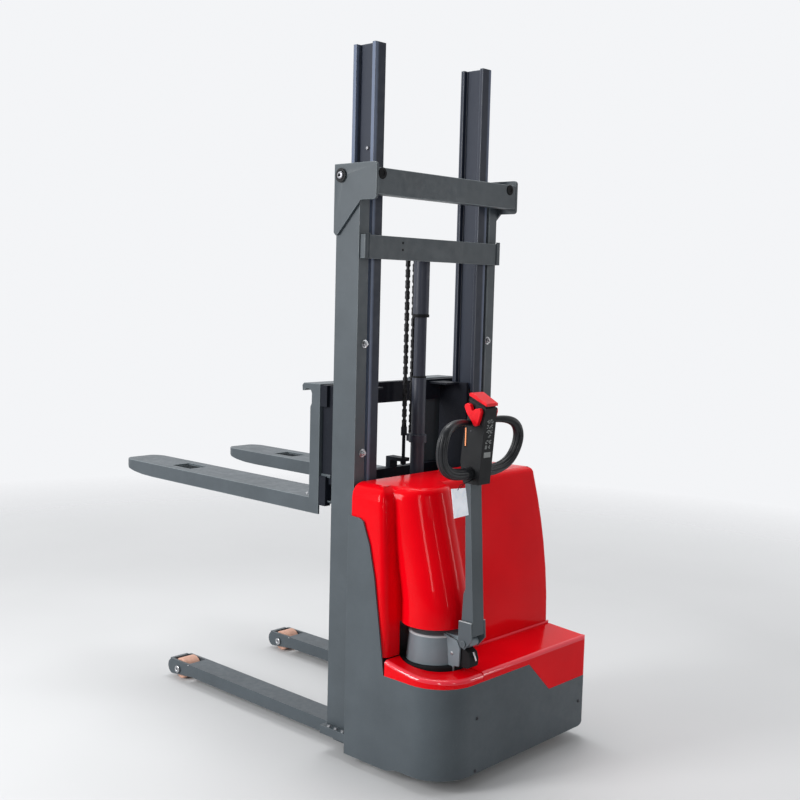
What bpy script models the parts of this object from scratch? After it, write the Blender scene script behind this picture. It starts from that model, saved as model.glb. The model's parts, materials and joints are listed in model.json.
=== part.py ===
"""Walkie stacker: straddle legs, two-stage mast, chain-lifted fork carriage, offset drive unit and tiller.

Every piece is placed in the truck's own frame, whose X = 0 is the mast's centre plane and whose Y = 0 is the
rear face of the fixed mast; +X is the operator's right, +Y points to the fork tips and Z = 0 is the floor.
The empty "truck" carries that frame and sets the origin under the middle of the whole machine.
"""

import math

import bmesh
import bpy
from mathutils import Matrix, Vector

# --- driving dimensions (metres) ---------------------------------------------------------------------------
TRUCK_X = 0.01983                      # shift that centres the whole machine on X, tiller grips included
TRUCK_Y = -0.4641                     # and on Y, from the reversing cap to the fork tips
GAP = 0.0003                          # air left between pieces that touch

BODY_HALF = 0.400                     # half of the overall width
BODY_REAR = -0.454
BODY_FRONT = -0.012
CORNER_R = 0.140                      # rear corner on the tiller side
SMALL_CORNER_R = 0.020
SKIN = 0.006                          # chassis plate
SKIRT_LOW, SKIRT_STEP, SKIRT_TOP = 0.032, 0.048, 0.352
DECK_PLATE_Z = (0.300, 0.310)         # plate that carries the drive unit, castor and battery
FOOT_TOP = 0.097                      # top of the plate under the mast

MAST_HALF = 0.3654                    # outer channel's web face
MAST_DEPTH = 0.1103
MAST_TOP = 2.020
OUTER_FLANGE = 0.0468
INNER_OUT, INNER_IN = 0.3053, 0.2559  # inner beam's outer and inner flange edges
INNER_Y = (0.001, 0.106)
INNER_Z = (0.498, 2.436)
INNER_MID_Y = sum(INNER_Y) / 2

COLUMN_Y = 0.045                      # lift cylinder's axis
BARREL_R, PLUNGER_R, SLEEVE_R = 0.0255, 0.0222, 0.0282
TIE_Z = (1.735, 1.795)
PULLEY_Y, PULLEY_Z, PITCH_R = 0.0965, 1.768, 0.0170
CHAIN_T, CHAIN_W = 0.011, 0.017        # plate height and width of the leaf chain

FORK_X, FORK_W = 0.272, 0.174
FORK_TOP, FORK_LOW = 0.884, 0.829
FORK_BACK, FORK_FACE, FORK_TIP = 0.1833, 0.2325, 1.4050
SHANK_TOP, NOSE_R = 1.288, 0.066
LEG_W, LEG_TOP = 0.100, 0.0775
LOAD_AXLE_Y, LOAD_WHEEL_R = 1.050, 0.042

STEER_X, STEER_Y = -0.230, -0.262     # steering axis
WELL_R = 0.118                        # round opening in the covers about that axis
TILT_Y, TILT_Z = -0.418, 0.485        # tiller hinge pin
DRIVE_WHEEL_R = 0.115
CASTOR_X, CASTOR_Y, CASTOR_TRAIL, CASTOR_R = 0.270, -0.290, 0.034, 0.0625

COVER_SPLIT = -0.005                  # joint between the two upper covers
COVER_FRONT = -0.020
COVER_TOP, COVER_ROUND, SIDE_ROUND = 0.972, 0.027, 0.046
COVER_T = 0.004
DECK_TOP = 0.395

SIDES = (("left", -1), ("right", 1))

# --- scene set-up ------------------------------------------------------------------------------------------
for old in list(bpy.data.objects):
    bpy.data.objects.remove(old, do_unlink=True)


def new_collection(name):
    made = bpy.data.collections.new(name)
    bpy.context.scene.collection.children.link(made)
    return made


PARTS = new_collection("walkie_stacker")
CUTTERS = new_collection("cutters")
TRUCK = bpy.data.objects.new("truck", None)
TRUCK.location = (TRUCK_X, TRUCK_Y, 0.0)
PARTS.objects.link(TRUCK)


def material(name, color, roughness, metallic=0.0):
    made = bpy.data.materials.new(name)
    made.use_nodes = True
    shader = made.node_tree.nodes["Principled BSDF"]
    shader.inputs["Base Color"].default_value = (*color, 1.0)
    shader.inputs["Roughness"].default_value = roughness
    shader.inputs["Metallic"].default_value = metallic
    return made


GREY = material("grey_paint", (0.10, 0.12, 0.135), 0.40)
RED = material("red_paint", (0.62, 0.008, 0.014), 0.22)
BLACK = material("black_plastic", (0.020, 0.021, 0.022), 0.50)
STEEL = material("bare_steel", (0.45, 0.45, 0.46), 0.35, 1.0)
CHROME = material("chromed_rod", (0.75, 0.76, 0.78), 0.10, 1.0)
TAN = material("load_tyre", (0.70, 0.40, 0.26), 0.55)
RUBBER = material("drive_tyre", (0.06, 0.06, 0.065), 0.70)
ORANGE = material("orange_key", (0.85, 0.24, 0.04), 0.40)


# --- building blocks ---------------------------------------------------------------------------------------
def mesh_object(name, mesh, look, collection=PARTS, parent=None):
    made = bpy.data.objects.new(name, mesh)
    collection.objects.link(made)
    made.parent = parent or TRUCK
    if look:
        mesh.materials.append(look)
    return made


def box(name, x, y, z, look=None, collection=PARTS, parent=None, origin=(0.0, 0.0, 0.0)):
    """A block between three (low, high) pairs, given in the truck's frame."""
    shape = bmesh.new()
    bmesh.ops.create_cube(shape, size=1.0)
    size = [high - low for low, high in (x, y, z)]
    centre = [(low + high) / 2 - start for (low, high), start in zip((x, y, z), origin)]
    bmesh.ops.scale(shape, vec=size, verts=shape.verts)
    bmesh.ops.translate(shape, vec=centre, verts=shape.verts)
    return finish(name, shape, look, collection, parent)


def finish(name, shape, look, collection=PARTS, parent=None):
    bmesh.ops.recalc_face_normals(shape, faces=shape.faces)
    mesh = bpy.data.meshes.new(name)
    shape.to_mesh(mesh)
    shape.free()
    return mesh_object(name, mesh, look, collection, parent)


TURNS = {"X": Matrix.Rotation(math.radians(90), 4, "Y"), "Y": Matrix.Rotation(math.radians(-90), 4, "X"),
         "Z": Matrix.Identity(4)}


def rod(name, axis, centre, length, radius, look=None, collection=PARTS, parent=None, top=None, sides=24):
    """A cylinder, or a cone when top is another radius, centred on a point and lying along an axis."""
    shape = bmesh.new()
    bmesh.ops.create_cone(shape, cap_ends=True, segments=sides, radius1=radius,
                          radius2=radius if top is None else top, depth=length)
    bmesh.ops.transform(shape, matrix=Matrix.Translation(centre) @ TURNS[axis], verts=shape.verts)
    return finish(name, shape, look, collection, parent)


def slab(name, outline, low, high, plane="XY", look=None, collection=PARTS, parent=None):
    """A flat outline, drawn in XY, YZ or XZ, extruded between two values of the third coordinate."""
    curve = bpy.data.curves.new(name, "CURVE")
    curve.dimensions = "2D"
    curve.fill_mode = "BOTH"
    curve.extrude = (high - low) / 2
    line = curve.splines.new("POLY")
    line.points.add(len(outline) - 1)
    for point, (u, v) in zip(line.points, outline):
        point.co = (u, v, 0.0, 1.0)
    line.use_cyclic_u = True
    drawn = bpy.data.objects.new(name + "_outline", curve)
    CUTTERS.objects.link(drawn)
    bpy.context.view_layer.update()
    mesh = bpy.data.meshes.new_from_object(drawn.evaluated_get(bpy.context.evaluated_depsgraph_get()))
    bpy.data.objects.remove(drawn, do_unlink=True)
    mid = (low + high) / 2
    frames = {"XY": ((1, 0, 0), (0, 1, 0), (0, 0, 1), (0, 0, mid)),
              "YZ": ((0, 1, 0), (0, 0, 1), (1, 0, 0), (mid, 0, 0)),
              "XZ": ((1, 0, 0), (0, 0, 1), (0, -1, 0), (0, mid, 0))}
    right, up, out, start = (Vector(part) for part in frames[plane])
    turn = Matrix((right, up, out)).transposed().to_4x4()
    shape = bmesh.new()
    shape.from_mesh(mesh)
    bmesh.ops.remove_doubles(shape, verts=shape.verts, dist=1e-5)
    bmesh.ops.transform(shape, matrix=Matrix.Translation(start) @ turn, verts=shape.verts)
    return finish(name, shape, look, collection, parent)


def turned(name, profile, axis, centre, look, parent=None, sides=32):
    """A closed profile of (radius, along) points turned about an axis through the centre."""
    shape = bmesh.new()
    ring = [shape.verts.new((radius, 0.0, along)) for radius, along in profile]
    pairs = [(i, (i + 1) % len(ring)) for i in range(len(ring))]
    edges = [shape.edges.new((ring[i], ring[j])) for i, j in pairs if profile[i][0] + profile[j][0] > 0]
    bmesh.ops.spin(shape, geom=ring + edges, cent=(0, 0, 0), axis=(0, 0, 1), angle=2 * math.pi, steps=sides,
                   use_merge=True)
    bmesh.ops.remove_doubles(shape, verts=shape.verts, dist=1e-6)
    bmesh.ops.transform(shape, matrix=Matrix.Translation(centre) @ TURNS[axis], verts=shape.verts)
    return finish(name, shape, look, PARTS, parent)


def apply_modifier(target):
    """Freeze the modifiers so that helpers can be removed."""
    bpy.context.view_layer.update()
    graph = bpy.context.evaluated_depsgraph_get()
    frozen = bpy.data.meshes.new_from_object(target.evaluated_get(graph))
    target.modifiers.clear()
    target.data = frozen
    return target


def combine(target, tools, operation):
    """Union, cut or intersect the target with each tool in turn."""
    for tool in tools:
        step = target.modifiers.new(operation.lower(), "BOOLEAN")
        step.operation = operation
        step.solver = "EXACT"
        step.object = tool
        apply_modifier(target)
        bpy.data.objects.remove(tool, do_unlink=True)
    shape = bmesh.new()
    shape.from_mesh(target.data)
    bmesh.ops.remove_doubles(shape, verts=shape.verts, dist=2e-6)
    bmesh.ops.recalc_face_normals(shape, faces=shape.faces)
    shape.to_mesh(target.data)
    shape.free()
    return target


def join(target, *tools):
    return combine(target, tools, "UNION")


def cut(target, *tools):
    return combine(target, tools, "DIFFERENCE")


def helper(maker, *args, **options):
    """A block, rod or slab that only cuts or adds to another piece."""
    return maker("helper", *args, collection=CUTTERS, **options)


def arc(centre, radius, start, end, steps):
    """Points on a circle from one angle to another, in degrees."""
    turn = [math.radians(start + (end - start) * i / steps) for i in range(steps + 1)]
    return [(centre[0] + radius * math.cos(a), centre[1] + radius * math.sin(a)) for a in turn]


def around(item, x=0.0, y=0.0, z=0.0):
    """Move a piece's origin to its joint axis, leaving its shape where it is."""
    item.data.transform(Matrix.Translation((-x, -y, -z)))
    item.location = (x, y, z)
    return item


# --- chassis -----------------------------------------------------------------------------------------------
def body_outline(inset=0.0, front=BODY_FRONT):
    """Plan of the chassis, from the front left round the rear to the front right."""
    half, rear = BODY_HALF - inset, BODY_REAR + inset
    left = arc((-BODY_HALF + CORNER_R, BODY_REAR + CORNER_R), CORNER_R - inset, 180, 270, 10)
    right = arc((BODY_HALF - SMALL_CORNER_R, BODY_REAR + SMALL_CORNER_R), SMALL_CORNER_R - inset, 270, 360, 4)
    return [(-half, front)] + left + right + [(half, front)]


def side_upright():
    """Edge of the plate that rises beside the mast, with its raked rear edge."""
    return [(BODY_FRONT, SKIRT_TOP - 0.02), (BODY_FRONT, 0.862), (-0.062, 0.860), (-0.081, 0.851),
            (-0.112, 0.777), (-0.138, 0.671), (-0.190, SKIRT_TOP), (-0.194, SKIRT_TOP - 0.02)]


def drop_panel(grow=0.0):
    """Where the rear deck cover hangs down over the chassis, seen from behind."""
    return [(0.050 - grow, 0.45), (0.050 - grow, SKIRT_TOP), (0.172 - grow, 0.2360 - grow),
            (0.5, 0.2360 - grow), (0.5, 0.45)]


def chassis():
    ring = body_outline() + list(reversed(body_outline(SKIN)))
    frame = slab("chassis_frame", ring, SKIRT_LOW, SKIRT_TOP, look=GREY)
    low = [(-0.19, 0.0), (-0.19, SKIRT_LOW), (-0.215, 0.034), (-0.25, 0.046), (-0.28, SKIRT_STEP),
           (-0.60, SKIRT_STEP), (-0.60, 0.0)]
    notch = drop_panel(grow=0.0008)
    lift = 0.088
    rear_corner = [(0.30, 0.0), (0.50, 0.0), (0.50, lift)] + arc((0.360, lift), lift - SKIRT_STEP, 0, -90, 6)
    side_corner = [(-0.30, 0.0), (-0.50, 0.0), (-0.50, lift)] + arc((-0.414, lift), lift - SKIRT_STEP, 180, 270, 6)
    corner = helper(slab, rear_corner, -0.5, -0.38, plane="XZ")
    combine(corner, [helper(slab, side_corner, 0.30, 0.5, plane="YZ")], "INTERSECT")
    cut(frame, helper(slab, low, -0.5, 0.5, plane="YZ"), helper(slab, notch, -0.5, -0.332, plane="XZ"), corner)
    for _, side in SIDES:
        outer, inner = sorted((side * BODY_HALF, side * (BODY_HALF - SKIN)))
        join(frame, helper(slab, side_upright(), outer, inner, plane="YZ"))
    well = arc((STEER_X, STEER_Y), 0.100, 0, 350, 35)
    inside = BODY_HALF - SKIN / 2
    floor = helper(slab, body_outline(SKIN / 2, front=-0.014), *DECK_PLATE_Z)
    cut(floor, helper(slab, well, 0.29, 0.32), helper(box, (0.045, 0.5), (-0.5, -0.4490), (0.29, 0.32)),
        helper(box, (0.3950, 0.5), (-0.5, -0.331), (0.29, 0.32)),
        helper(box, (0.3795, 0.5), (-0.5, -0.4335), (0.29, 0.32)))
    pedestal = helper(box, (CASTOR_X - 0.05, CASTOR_X + 0.05), (CASTOR_Y - 0.05, CASTOR_Y + 0.05),
                      (0.175, DECK_PLATE_Z[0] + 0.002))
    foot = helper(box, (-inside, inside), (BODY_FRONT - 0.03, 0.112), (0.068, FOOT_TOP))
    beam = helper(box, (-0.340, 0.340), (0.004, 0.104), (0.030, 0.070))
    join(frame, floor, pedestal, foot, beam)


# --- legs and load wheels ----------------------------------------------------------------------------------
def legs():
    cheek = ([(0.955, 0.030)] + arc((LOAD_AXLE_Y + 0.037, 0.0455), 0.0320, -75, 75, 8) + [(0.955, LEG_TOP)])
    for name, side in SIDES:
        mid = side * FORK_X
        leg = box(f"{name}_leg", (mid - LEG_W / 2, mid + LEG_W / 2), (0.112 + GAP, 0.985), (0.030, LEG_TOP), GREY)
        for edge in (-1, 1):
            x = sorted((mid + edge * 0.0400, mid + edge * LEG_W / 2))
            join(leg, helper(slab, cheek, *x, plane="YZ"))
        join(leg, helper(box, (mid - 0.0410, mid + 0.0410), (1.1000, 1.1150), (0.028, 0.0740)))
        cut(leg, helper(rod, "X", (mid, LOAD_AXLE_Y, LOAD_WHEEL_R), 0.2, 0.0103))
        axle = rod(f"{name}_load_axle", "X", (mid, LOAD_AXLE_Y, LOAD_WHEEL_R), 0.106, 0.010, STEEL)
        for edge in (-1, 1):
            join(axle, helper(rod, "X", (mid + edge * 0.0525, LOAD_AXLE_Y, LOAD_WHEEL_R), 0.004, 0.014))
        profile = [(0.0103, -0.037), (0.038, -0.037), (LOAD_WHEEL_R, -0.033), (LOAD_WHEEL_R, 0.033),
                   (0.038, 0.037), (0.0103, 0.037)]
        wheel = turned(f"{name}_load_wheel", profile, "X", (mid, LOAD_AXLE_Y, LOAD_WHEEL_R), TAN, sides=40)
        around(wheel, mid, LOAD_AXLE_Y, LOAD_WHEEL_R)


# --- fixed mast --------------------------------------------------------------------------------------------
TOP_AXLE_Y, TOP_AXLE_Z, TOP_ROLLER_R = 0.0655, 1.995, 0.0238
FOOT_AXLE_Y, FOOT_AXLE_Z, FOOT_ROLLER_R = 0.05515, 0.560, 0.0400


def fixed_mast():
    web, lip, flange = MAST_HALF - 0.010, MAST_HALF - OUTER_FLANGE, 0.014
    section = [(MAST_HALF, 0.0), (MAST_HALF, MAST_DEPTH), (lip, MAST_DEPTH), (lip, MAST_DEPTH - flange),
               (web, MAST_DEPTH - flange), (web, flange), (lip, flange), (lip, 0.0)]
    plate = ([(0.1127, 1.806), (0.1127, 2.0335)] + arc((-0.0732, 2.0215), 0.012, 90, 180, 4)
             + arc((-0.0732, 1.924), 0.012, 180, 270, 4) + [(-0.012, 1.912), (0.095, 1.800), (0.104, 1.797)])
    for name, side in SIDES:
        channel = slab(f"{name}_outer_channel", [(side * x, y) for x, y in section], FOOT_TOP + GAP, MAST_TOP,
                       look=GREY)
        cut(channel, helper(rod, "X", (side * 0.36, TOP_AXLE_Y, TOP_AXLE_Z), 0.05, 0.0215))
        faces = sorted((side * (MAST_HALF + GAP), side * (MAST_HALF + 0.0103)))
        top = slab(f"{name}_top_plate", plate, *faces, plane="YZ", look=GREY)
        boss = helper(rod, "X", (side * 0.3765, 0.078, TOP_AXLE_Z), 0.007, 0.0195)
        stub = helper(rod, "X", (side * 0.3295, TOP_AXLE_Y, TOP_AXLE_Z), 0.083, 0.0085)
        join(top, boss, stub)
        profile = [(0.0088, -0.0075), (0.0225, -0.0075), (TOP_ROLLER_R, -0.006), (TOP_ROLLER_R, 0.006),
                   (0.0225, 0.0075), (0.0088, 0.0075)]
        centre = (side * 0.2965, TOP_AXLE_Y, TOP_AXLE_Z)
        around(turned(f"{name}_top_roller", profile, "X", centre, STEEL, sides=24), *centre)
    bar = [(-0.0845, 1.928), (-0.0845, 2.015), (-0.0445, 2.015), (-0.0445, 2.009), (-0.0765, 2.009),
           (-0.0765, 1.934), (-0.0445, 1.934), (-0.0445, 1.928)]
    slab("upper_crossbar", bar, -MAST_HALF, MAST_HALF, plane="YZ", look=GREY)
    end = 0.3600
    strap = [(-end, -0.022), (end, -0.022), (end, -GAP), (0.347, -GAP), (0.347, -0.014), (-0.347, -0.014),
             (-0.347, -GAP), (-end, -GAP)]
    slab("lower_crossbar", strap, 1.721, 1.800, look=GREY)


# --- lift cylinder -----------------------------------------------------------------------------------------
BARREL_TOP = 1.306
ANCHOR_Z = 1.100                      # fixed end of the lift chain


def lift_cylinder():
    base = FOOT_TOP + GAP
    bore = PLUNGER_R + 0.0004
    barrel = turned("cylinder_barrel",
                    [(0.0, base), (0.034, base), (0.034, base + 0.03), (BARREL_R, base + 0.03),
                     (BARREL_R, BARREL_TOP - 0.002), (BARREL_R - 0.001, BARREL_TOP), (bore, BARREL_TOP),
                     (bore, base + 0.02), (0.0, base + 0.02)], "Z", (0.0, COLUMN_Y, 0.0), GREY, sides=28)
    ring = helper(rod, "Z", (0.0, COLUMN_Y, ANCHOR_Z - 0.015), 0.028, 0.0325, sides=28)
    cut(ring, helper(rod, "Z", (0.0, COLUMN_Y, ANCHOR_Z - 0.015), 0.06, 0.0240, sides=28))
    ear = helper(box, (-0.012, 0.012), (COLUMN_Y + 0.027, 0.0900), (ANCHOR_Z - 0.028, ANCHOR_Z - 0.001))
    join(barrel, ring, ear)
    plunger = [(0.0, 0.545), (PLUNGER_R, 0.545), (PLUNGER_R, 1.712), (0.025, 1.714), (0.025, TIE_Z[0] - GAP),
               (0.0, TIE_Z[0] - GAP)]
    turned("lift_plunger", plunger, "Z", (0.0, COLUMN_Y, 0.0), CHROME, sides=24)
    sleeve = [(SLEEVE_R - 0.0022, 1.535), (SLEEVE_R, 1.535), (SLEEVE_R, TIE_Z[0] - GAP),
              (SLEEVE_R - 0.0022, TIE_Z[0] - GAP)]
    turned("cylinder_sleeve", sleeve, "Z", (0.0, COLUMN_Y, 0.0), GREY, sides=28)


# --- moving mast -------------------------------------------------------------------------------------------
CARRIAGE_AXLES = (("lower", 0.960), ("upper", 1.225))
CARRIAGE_ROLLER_R = 0.0355


def moving_mast():
    web = (0.2746, 0.2866)
    outer, inner = 0.016, 0.0156
    low, high = INNER_Y
    section = [(INNER_OUT, low), (INNER_OUT, low + outer), (web[1], low + outer), (web[1], high - outer),
               (INNER_OUT, high - outer), (INNER_OUT, high), (INNER_IN, high), (INNER_IN, high - inner),
               (web[0], high - inner), (web[0], low + inner), (INNER_IN, low + inner), (INNER_IN, low)]
    for name, side in SIDES:
        beam = slab(f"{name}_inner_channel", [(side * x, y) for x, y in section], *INNER_Z, look=GREY)
        join(beam, helper(rod, "X", (side * 0.3195, FOOT_AXLE_Y, FOOT_AXLE_Z), 0.069, 0.012))
        profile = [(0.0124, -0.014), (0.037, -0.014), (FOOT_ROLLER_R, -0.011), (FOOT_ROLLER_R, 0.011),
                   (0.037, 0.014), (0.0124, 0.014)]
        centre = (side * 0.3370, FOOT_AXLE_Y, FOOT_AXLE_Z)
        around(turned(f"{name}_foot_roller", profile, "X", centre, STEEL, sides=28), *centre)
    behind = (-0.0125, INNER_Y[0] - GAP)
    tie = box("pulley_tie_bar", (-INNER_OUT, INNER_OUT), behind, TIE_Z, GREY)
    join(tie, helper(box, (-0.050, 0.050), (-0.004, 0.0705), TIE_Z))
    for edge in (-1, 1):
        cheek = sorted((edge * 0.0155, edge * 0.0215))
        join(tie, helper(box, cheek, (0.068, 0.112), (TIE_Z[0] + 0.012, TIE_Z[1])))
    join(tie, helper(rod, "X", (0.0, PULLEY_Y, PULLEY_Z), 0.050, 0.0070))
    groove = PITCH_R - CHAIN_T / 2 - GAP
    wheel = [(0.0073, -0.0145), (0.0245, -0.0145), (0.0245, -0.0115), (groove, -0.0100), (groove, 0.0100),
             (0.0245, 0.0115), (0.0245, 0.0145), (0.0073, 0.0145)]
    around(turned("chain_pulley", wheel, "X", (0.0, PULLEY_Y, PULLEY_Z), STEEL, sides=32), 0, PULLEY_Y, PULLEY_Z)
    box("lower_tie_bar", (-INNER_OUT, INNER_OUT), behind, (0.500, 0.560), GREY)
    half = CHAIN_W / 2
    back = (PULLEY_Y - PITCH_R - CHAIN_T / 2, PULLEY_Y - PITCH_R + CHAIN_T / 2)
    front = (PULLEY_Y + PITCH_R - CHAIN_T / 2, PULLEY_Y + PITCH_R + CHAIN_T / 2)
    box("fixed_chain_run", (-half, half), back, (ANCHOR_Z, PULLEY_Z - 0.012), STEEL)
    box("carriage_chain_run", (-half, half), front, (1.1205, PULLEY_Z - 0.012), STEEL)


# --- fork carriage -----------------------------------------------------------------------------------------
BEAM_Y = (0.150, 0.183)


def carriage():
    reach = FORK_X + FORK_W / 2 - 0.002
    frame = box("carriage_frame", (-reach, reach), BEAM_Y, (1.210, 1.285), GREY)
    low_beam = helper(box, (-reach, reach), BEAM_Y, (0.862, 0.966))
    cut(low_beam, helper(box, (0.212, 0.332), (0.1, 0.2), (0.85, 0.8785)),
        helper(box, (-0.332, -0.212), (0.1, 0.2), (0.85, 0.8785)))
    pieces = [low_beam,
              helper(box, (-0.021, 0.018), (0.099, 0.182), (0.993, 1.006)),
              helper(box, (-0.021, 0.018), (0.160, 0.182), (0.940, 1.006))]
    for _, side in SIDES:
        wall = sorted((side * 0.2385, side * 0.2505))
        end = sorted((side * 0.339, side * 0.345))
        gusset = sorted((side * 0.170, side * 0.2440))
        pieces.append(helper(box, wall, (0.020, 0.152), (0.900, 1.278)))
        pieces.append(helper(box, end, (0.120, 0.182), (0.940, 1.284)))
        pieces.append(helper(box, gusset, (0.060, 0.152), (1.2705, 1.2775)))
        for _, height in CARRIAGE_AXLES:
            pieces.append(helper(rod, "X", (side * 0.2600, INNER_MID_Y, height), 0.0265, 0.012))
    join(frame, *pieces)
    cut(frame, helper(rod, "Z", (0.0, PULLEY_Y + PITCH_R, 1.0), 0.06, 0.0066, sides=16))
    profile = [(0.0124, -0.0075), (0.0335, -0.0075), (CARRIAGE_ROLLER_R, -0.0055), (CARRIAGE_ROLLER_R, 0.0055),
               (0.0335, 0.0075), (0.0124, 0.0075)]
    for name, side in SIDES:
        for level, height in CARRIAGE_AXLES:
            centre = (side * 0.2648, INNER_MID_Y, height)
            around(turned(f"{name}_{level}_roller", profile, "X", centre, STEEL, sides=24), *centre)
    anchor = rod("chain_anchor", "Z", (0.0, PULLEY_Y + PITCH_R, 1.035), 0.112, 0.0063, STEEL, sides=16)
    join(anchor, helper(box, (-0.010, 0.010), (PULLEY_Y + PITCH_R - 0.006, PULLEY_Y + PITCH_R + 0.006),
                        (1.088, 1.120)),
         helper(rod, "Z", (0.0, PULLEY_Y + PITCH_R, 0.9870), 0.010, 0.011, sides=6))


def forks():
    """Each fork is a blade of inverted channel, a hollow-backed shank and a hooked lip."""
    tip_low = [(1.190, FORK_LOW), (1.260, 0.8312), (1.315, 0.8370), (1.360, 0.8460), (1.388, 0.8570)]
    blade = ([(FORK_FACE - 0.01, FORK_LOW)] + tip_low
             + [(FORK_TIP - 0.003, 0.868), (FORK_TIP, 0.8765), (FORK_TIP - 0.007, FORK_TOP),
                (FORK_FACE - 0.01, FORK_TOP)])
    shank = [(FORK_BACK, FORK_LOW), (FORK_FACE, FORK_LOW), (FORK_FACE, 1.205), (0.2260, 1.217), (0.2255, 1.252),
             (0.2310, 1.263), (0.2420, 1.2695), (0.2550, 1.2690), (0.2655, 1.260), (0.2735, 1.259),
             (0.2755, 1.278), (0.2680, 1.2870), (FORK_BACK, SHANK_TOP)]
    half = FORK_W / 2
    for name, side in SIDES:
        mid = side * FORK_X
        fork = helper(slab, blade, mid - half, mid + half, plane="YZ")
        nose = ([(mid - half, 0.20), (mid + half, 0.20)]
                + arc((mid + half - NOSE_R, FORK_TIP - NOSE_R), NOSE_R, 0, 90, 8)
                + arc((mid - half + NOSE_R, FORK_TIP - NOSE_R), NOSE_R, 90, 180, 8))
        combine(fork, [helper(slab, nose, 0.80, 0.90)], "INTERSECT")
        cut(fork, helper(box, (mid - half + 0.008, mid + half - 0.008), (0.242, 1.290), (0.80, FORK_TOP - 0.008)),
            helper(box, (mid - 0.042, mid + 0.042), (0.989, 1.111), (0.85, 0.90)))
        fork.name = f"{name}_fork"
        fork.data.materials.clear()
        fork.data.materials.append(GREY)
        CUTTERS.objects.unlink(fork)
        PARTS.objects.link(fork)
        join(fork, helper(slab, shank, mid - half, mid + half, plane="YZ"))
        cut(fork, helper(box, (mid - half + 0.008, mid + half - 0.008), (0.15, 0.26), (0.80, FORK_TOP - 0.008)))


# --- covers ------------------------------------------------------------------------------------------------
def blend(z, low, high, bottom=0.395, top=0.955):
    return low + (high - low) * (z - bottom) / (top - bottom)


def rear_face(z):
    """Rear face of both upper covers: it leans forward, more and more towards the top."""
    return -0.280 + 0.085 * ((z - 0.395) / 0.56) ** 2


def hood_path(z):
    """Plan of the tiller-side cover at a height: side wall, corner, drive-unit lobe and rear face."""
    corner = blend(z, -0.190, -0.165)
    rear = rear_face(z)
    lobe_y = STEER_Y + max(0.0, z - 0.600) * 0.270
    lobe_r = 0.113
    left = math.degrees(math.asin((corner - lobe_y) / lobe_r))
    right = math.degrees(math.asin((rear - lobe_y) / lobe_r))
    return ([(-0.392, COVER_FRONT), (-0.392, corner + 0.045)]
            + arc((-0.367, corner + 0.025), 0.025, 180, 270, 5)
            + arc((STEER_X, lobe_y), lobe_r, 180 - left, 360 + right, 20)
            + [(-0.060, rear), (COVER_SPLIT - 0.002, rear)])


def battery_path(z):
    """Plan of the battery cover at a height; its side steps in to pass behind the chassis upright."""
    rear = rear_face(z)
    side, radius = 0.3975, 0.018
    step = blend(z, -0.200, -0.094)
    return ([(COVER_SPLIT + 0.002, rear), (0.20, rear)]
            + arc((side - radius, rear + radius), radius, 270, 360, 5)
            + [(side, step), (0.3930, step + 0.012), (0.3925, COVER_FRONT)])


def inward(path, distance):
    """The same path moved towards the cover's inside (its left when walking along it)."""
    moved = []
    for i, (x, y) in enumerate(path):
        before, after = path[max(i - 1, 0)], path[min(i + 1, len(path) - 1)]
        along = Vector((after[0] - before[0], after[1] - before[1])).normalized()
        moved.append((x - along.y * distance, y + along.x * distance))
    return moved


def edge_round(x):
    """Radius of the rounding at the top edge, larger along the tiller side's outer wall."""
    return COVER_ROUND + (SIDE_ROUND - COVER_ROUND) * min(max((-0.300 - x) / 0.060, 0.0), 1.0)


def cover_shell(name, path, bottom):
    """Loft the wall through a few heights, round it over into a flat top and give it thickness."""
    shape = bmesh.new()
    rings = []
    for z in (bottom, 0.50, 0.60, 0.70, 0.78, 0.86):
        rings.append([shape.verts.new((x, y, z)) for x, y in path(z)])
    base = path(COVER_TOP - COVER_ROUND)
    for step in range(5):
        turn = math.radians(90 * step / 4)
        ring = []
        for i, (x, y) in enumerate(base):
            radius = edge_round(x)
            x, y = inward(base, radius * (1 - math.cos(turn)))[i]
            ring.append(shape.verts.new((x, y, COVER_TOP - radius * (1 - math.sin(turn)))))
        rings.append(ring)
    for lower, upper in zip(rings, rings[1:]):
        for i in range(len(lower) - 1):
            shape.faces.new((lower[i], lower[i + 1], upper[i + 1], upper[i]))
    front = COVER_FRONT
    shape.faces.new(rings[-1] + ([shape.verts.new((rings[-1][-1].co.x, front, COVER_TOP))]
                                 if rings[-1][-1].co.y < front - 0.01 else
                                 [shape.verts.new((rings[-1][0].co.x, front, COVER_TOP))]))
    cover = finish(name, shape, RED)
    skin = cover.modifiers.new("skin", "SOLIDIFY")
    skin.thickness = COVER_T
    skin.offset = -1.0
    skin.use_even_offset = False
    apply_modifier(cover)
    shape = bmesh.new()
    shape.from_mesh(cover.data)
    bmesh.ops.recalc_face_normals(shape, faces=shape.faces)
    shape.to_mesh(cover.data)
    shape.free()
    return cover


def upper_covers():
    hood = cover_shell("hood", hood_path, 0.397)
    cut(hood, helper(slab, arc((STEER_X, STEER_Y), WELL_R, 0, 350, 35), 0.35, 0.520),
        helper(box, (-0.5, -0.30), (-0.30, 0.0), (0.35, 0.4065)))
    cover = cover_shell("battery_cover", battery_path, 0.397)
    cut(cover, helper(rod, "Z", (0.165, -0.065, COVER_TOP), 0.06, 0.0095, sides=20))


def low_cover(name, plan, inner, profile, lining, x_span):
    """A folded cover: its plan cut to the side profile, with the inside taken out."""
    cover = helper(slab, plan, 0.20, 0.45)
    combine(cover, [helper(slab, profile, *x_span, plane="YZ")], "INTERSECT")
    hollow = helper(slab, inner, 0.10, 0.45)
    combine(hollow, [helper(slab, lining, -0.6, 0.6, plane="YZ")], "INTERSECT")
    cut(cover, hollow)
    cover.name = name
    CUTTERS.objects.unlink(cover)
    PARTS.objects.link(cover)
    cover.data.materials.clear()
    cover.data.materials.append(RED)
    return cover


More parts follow.
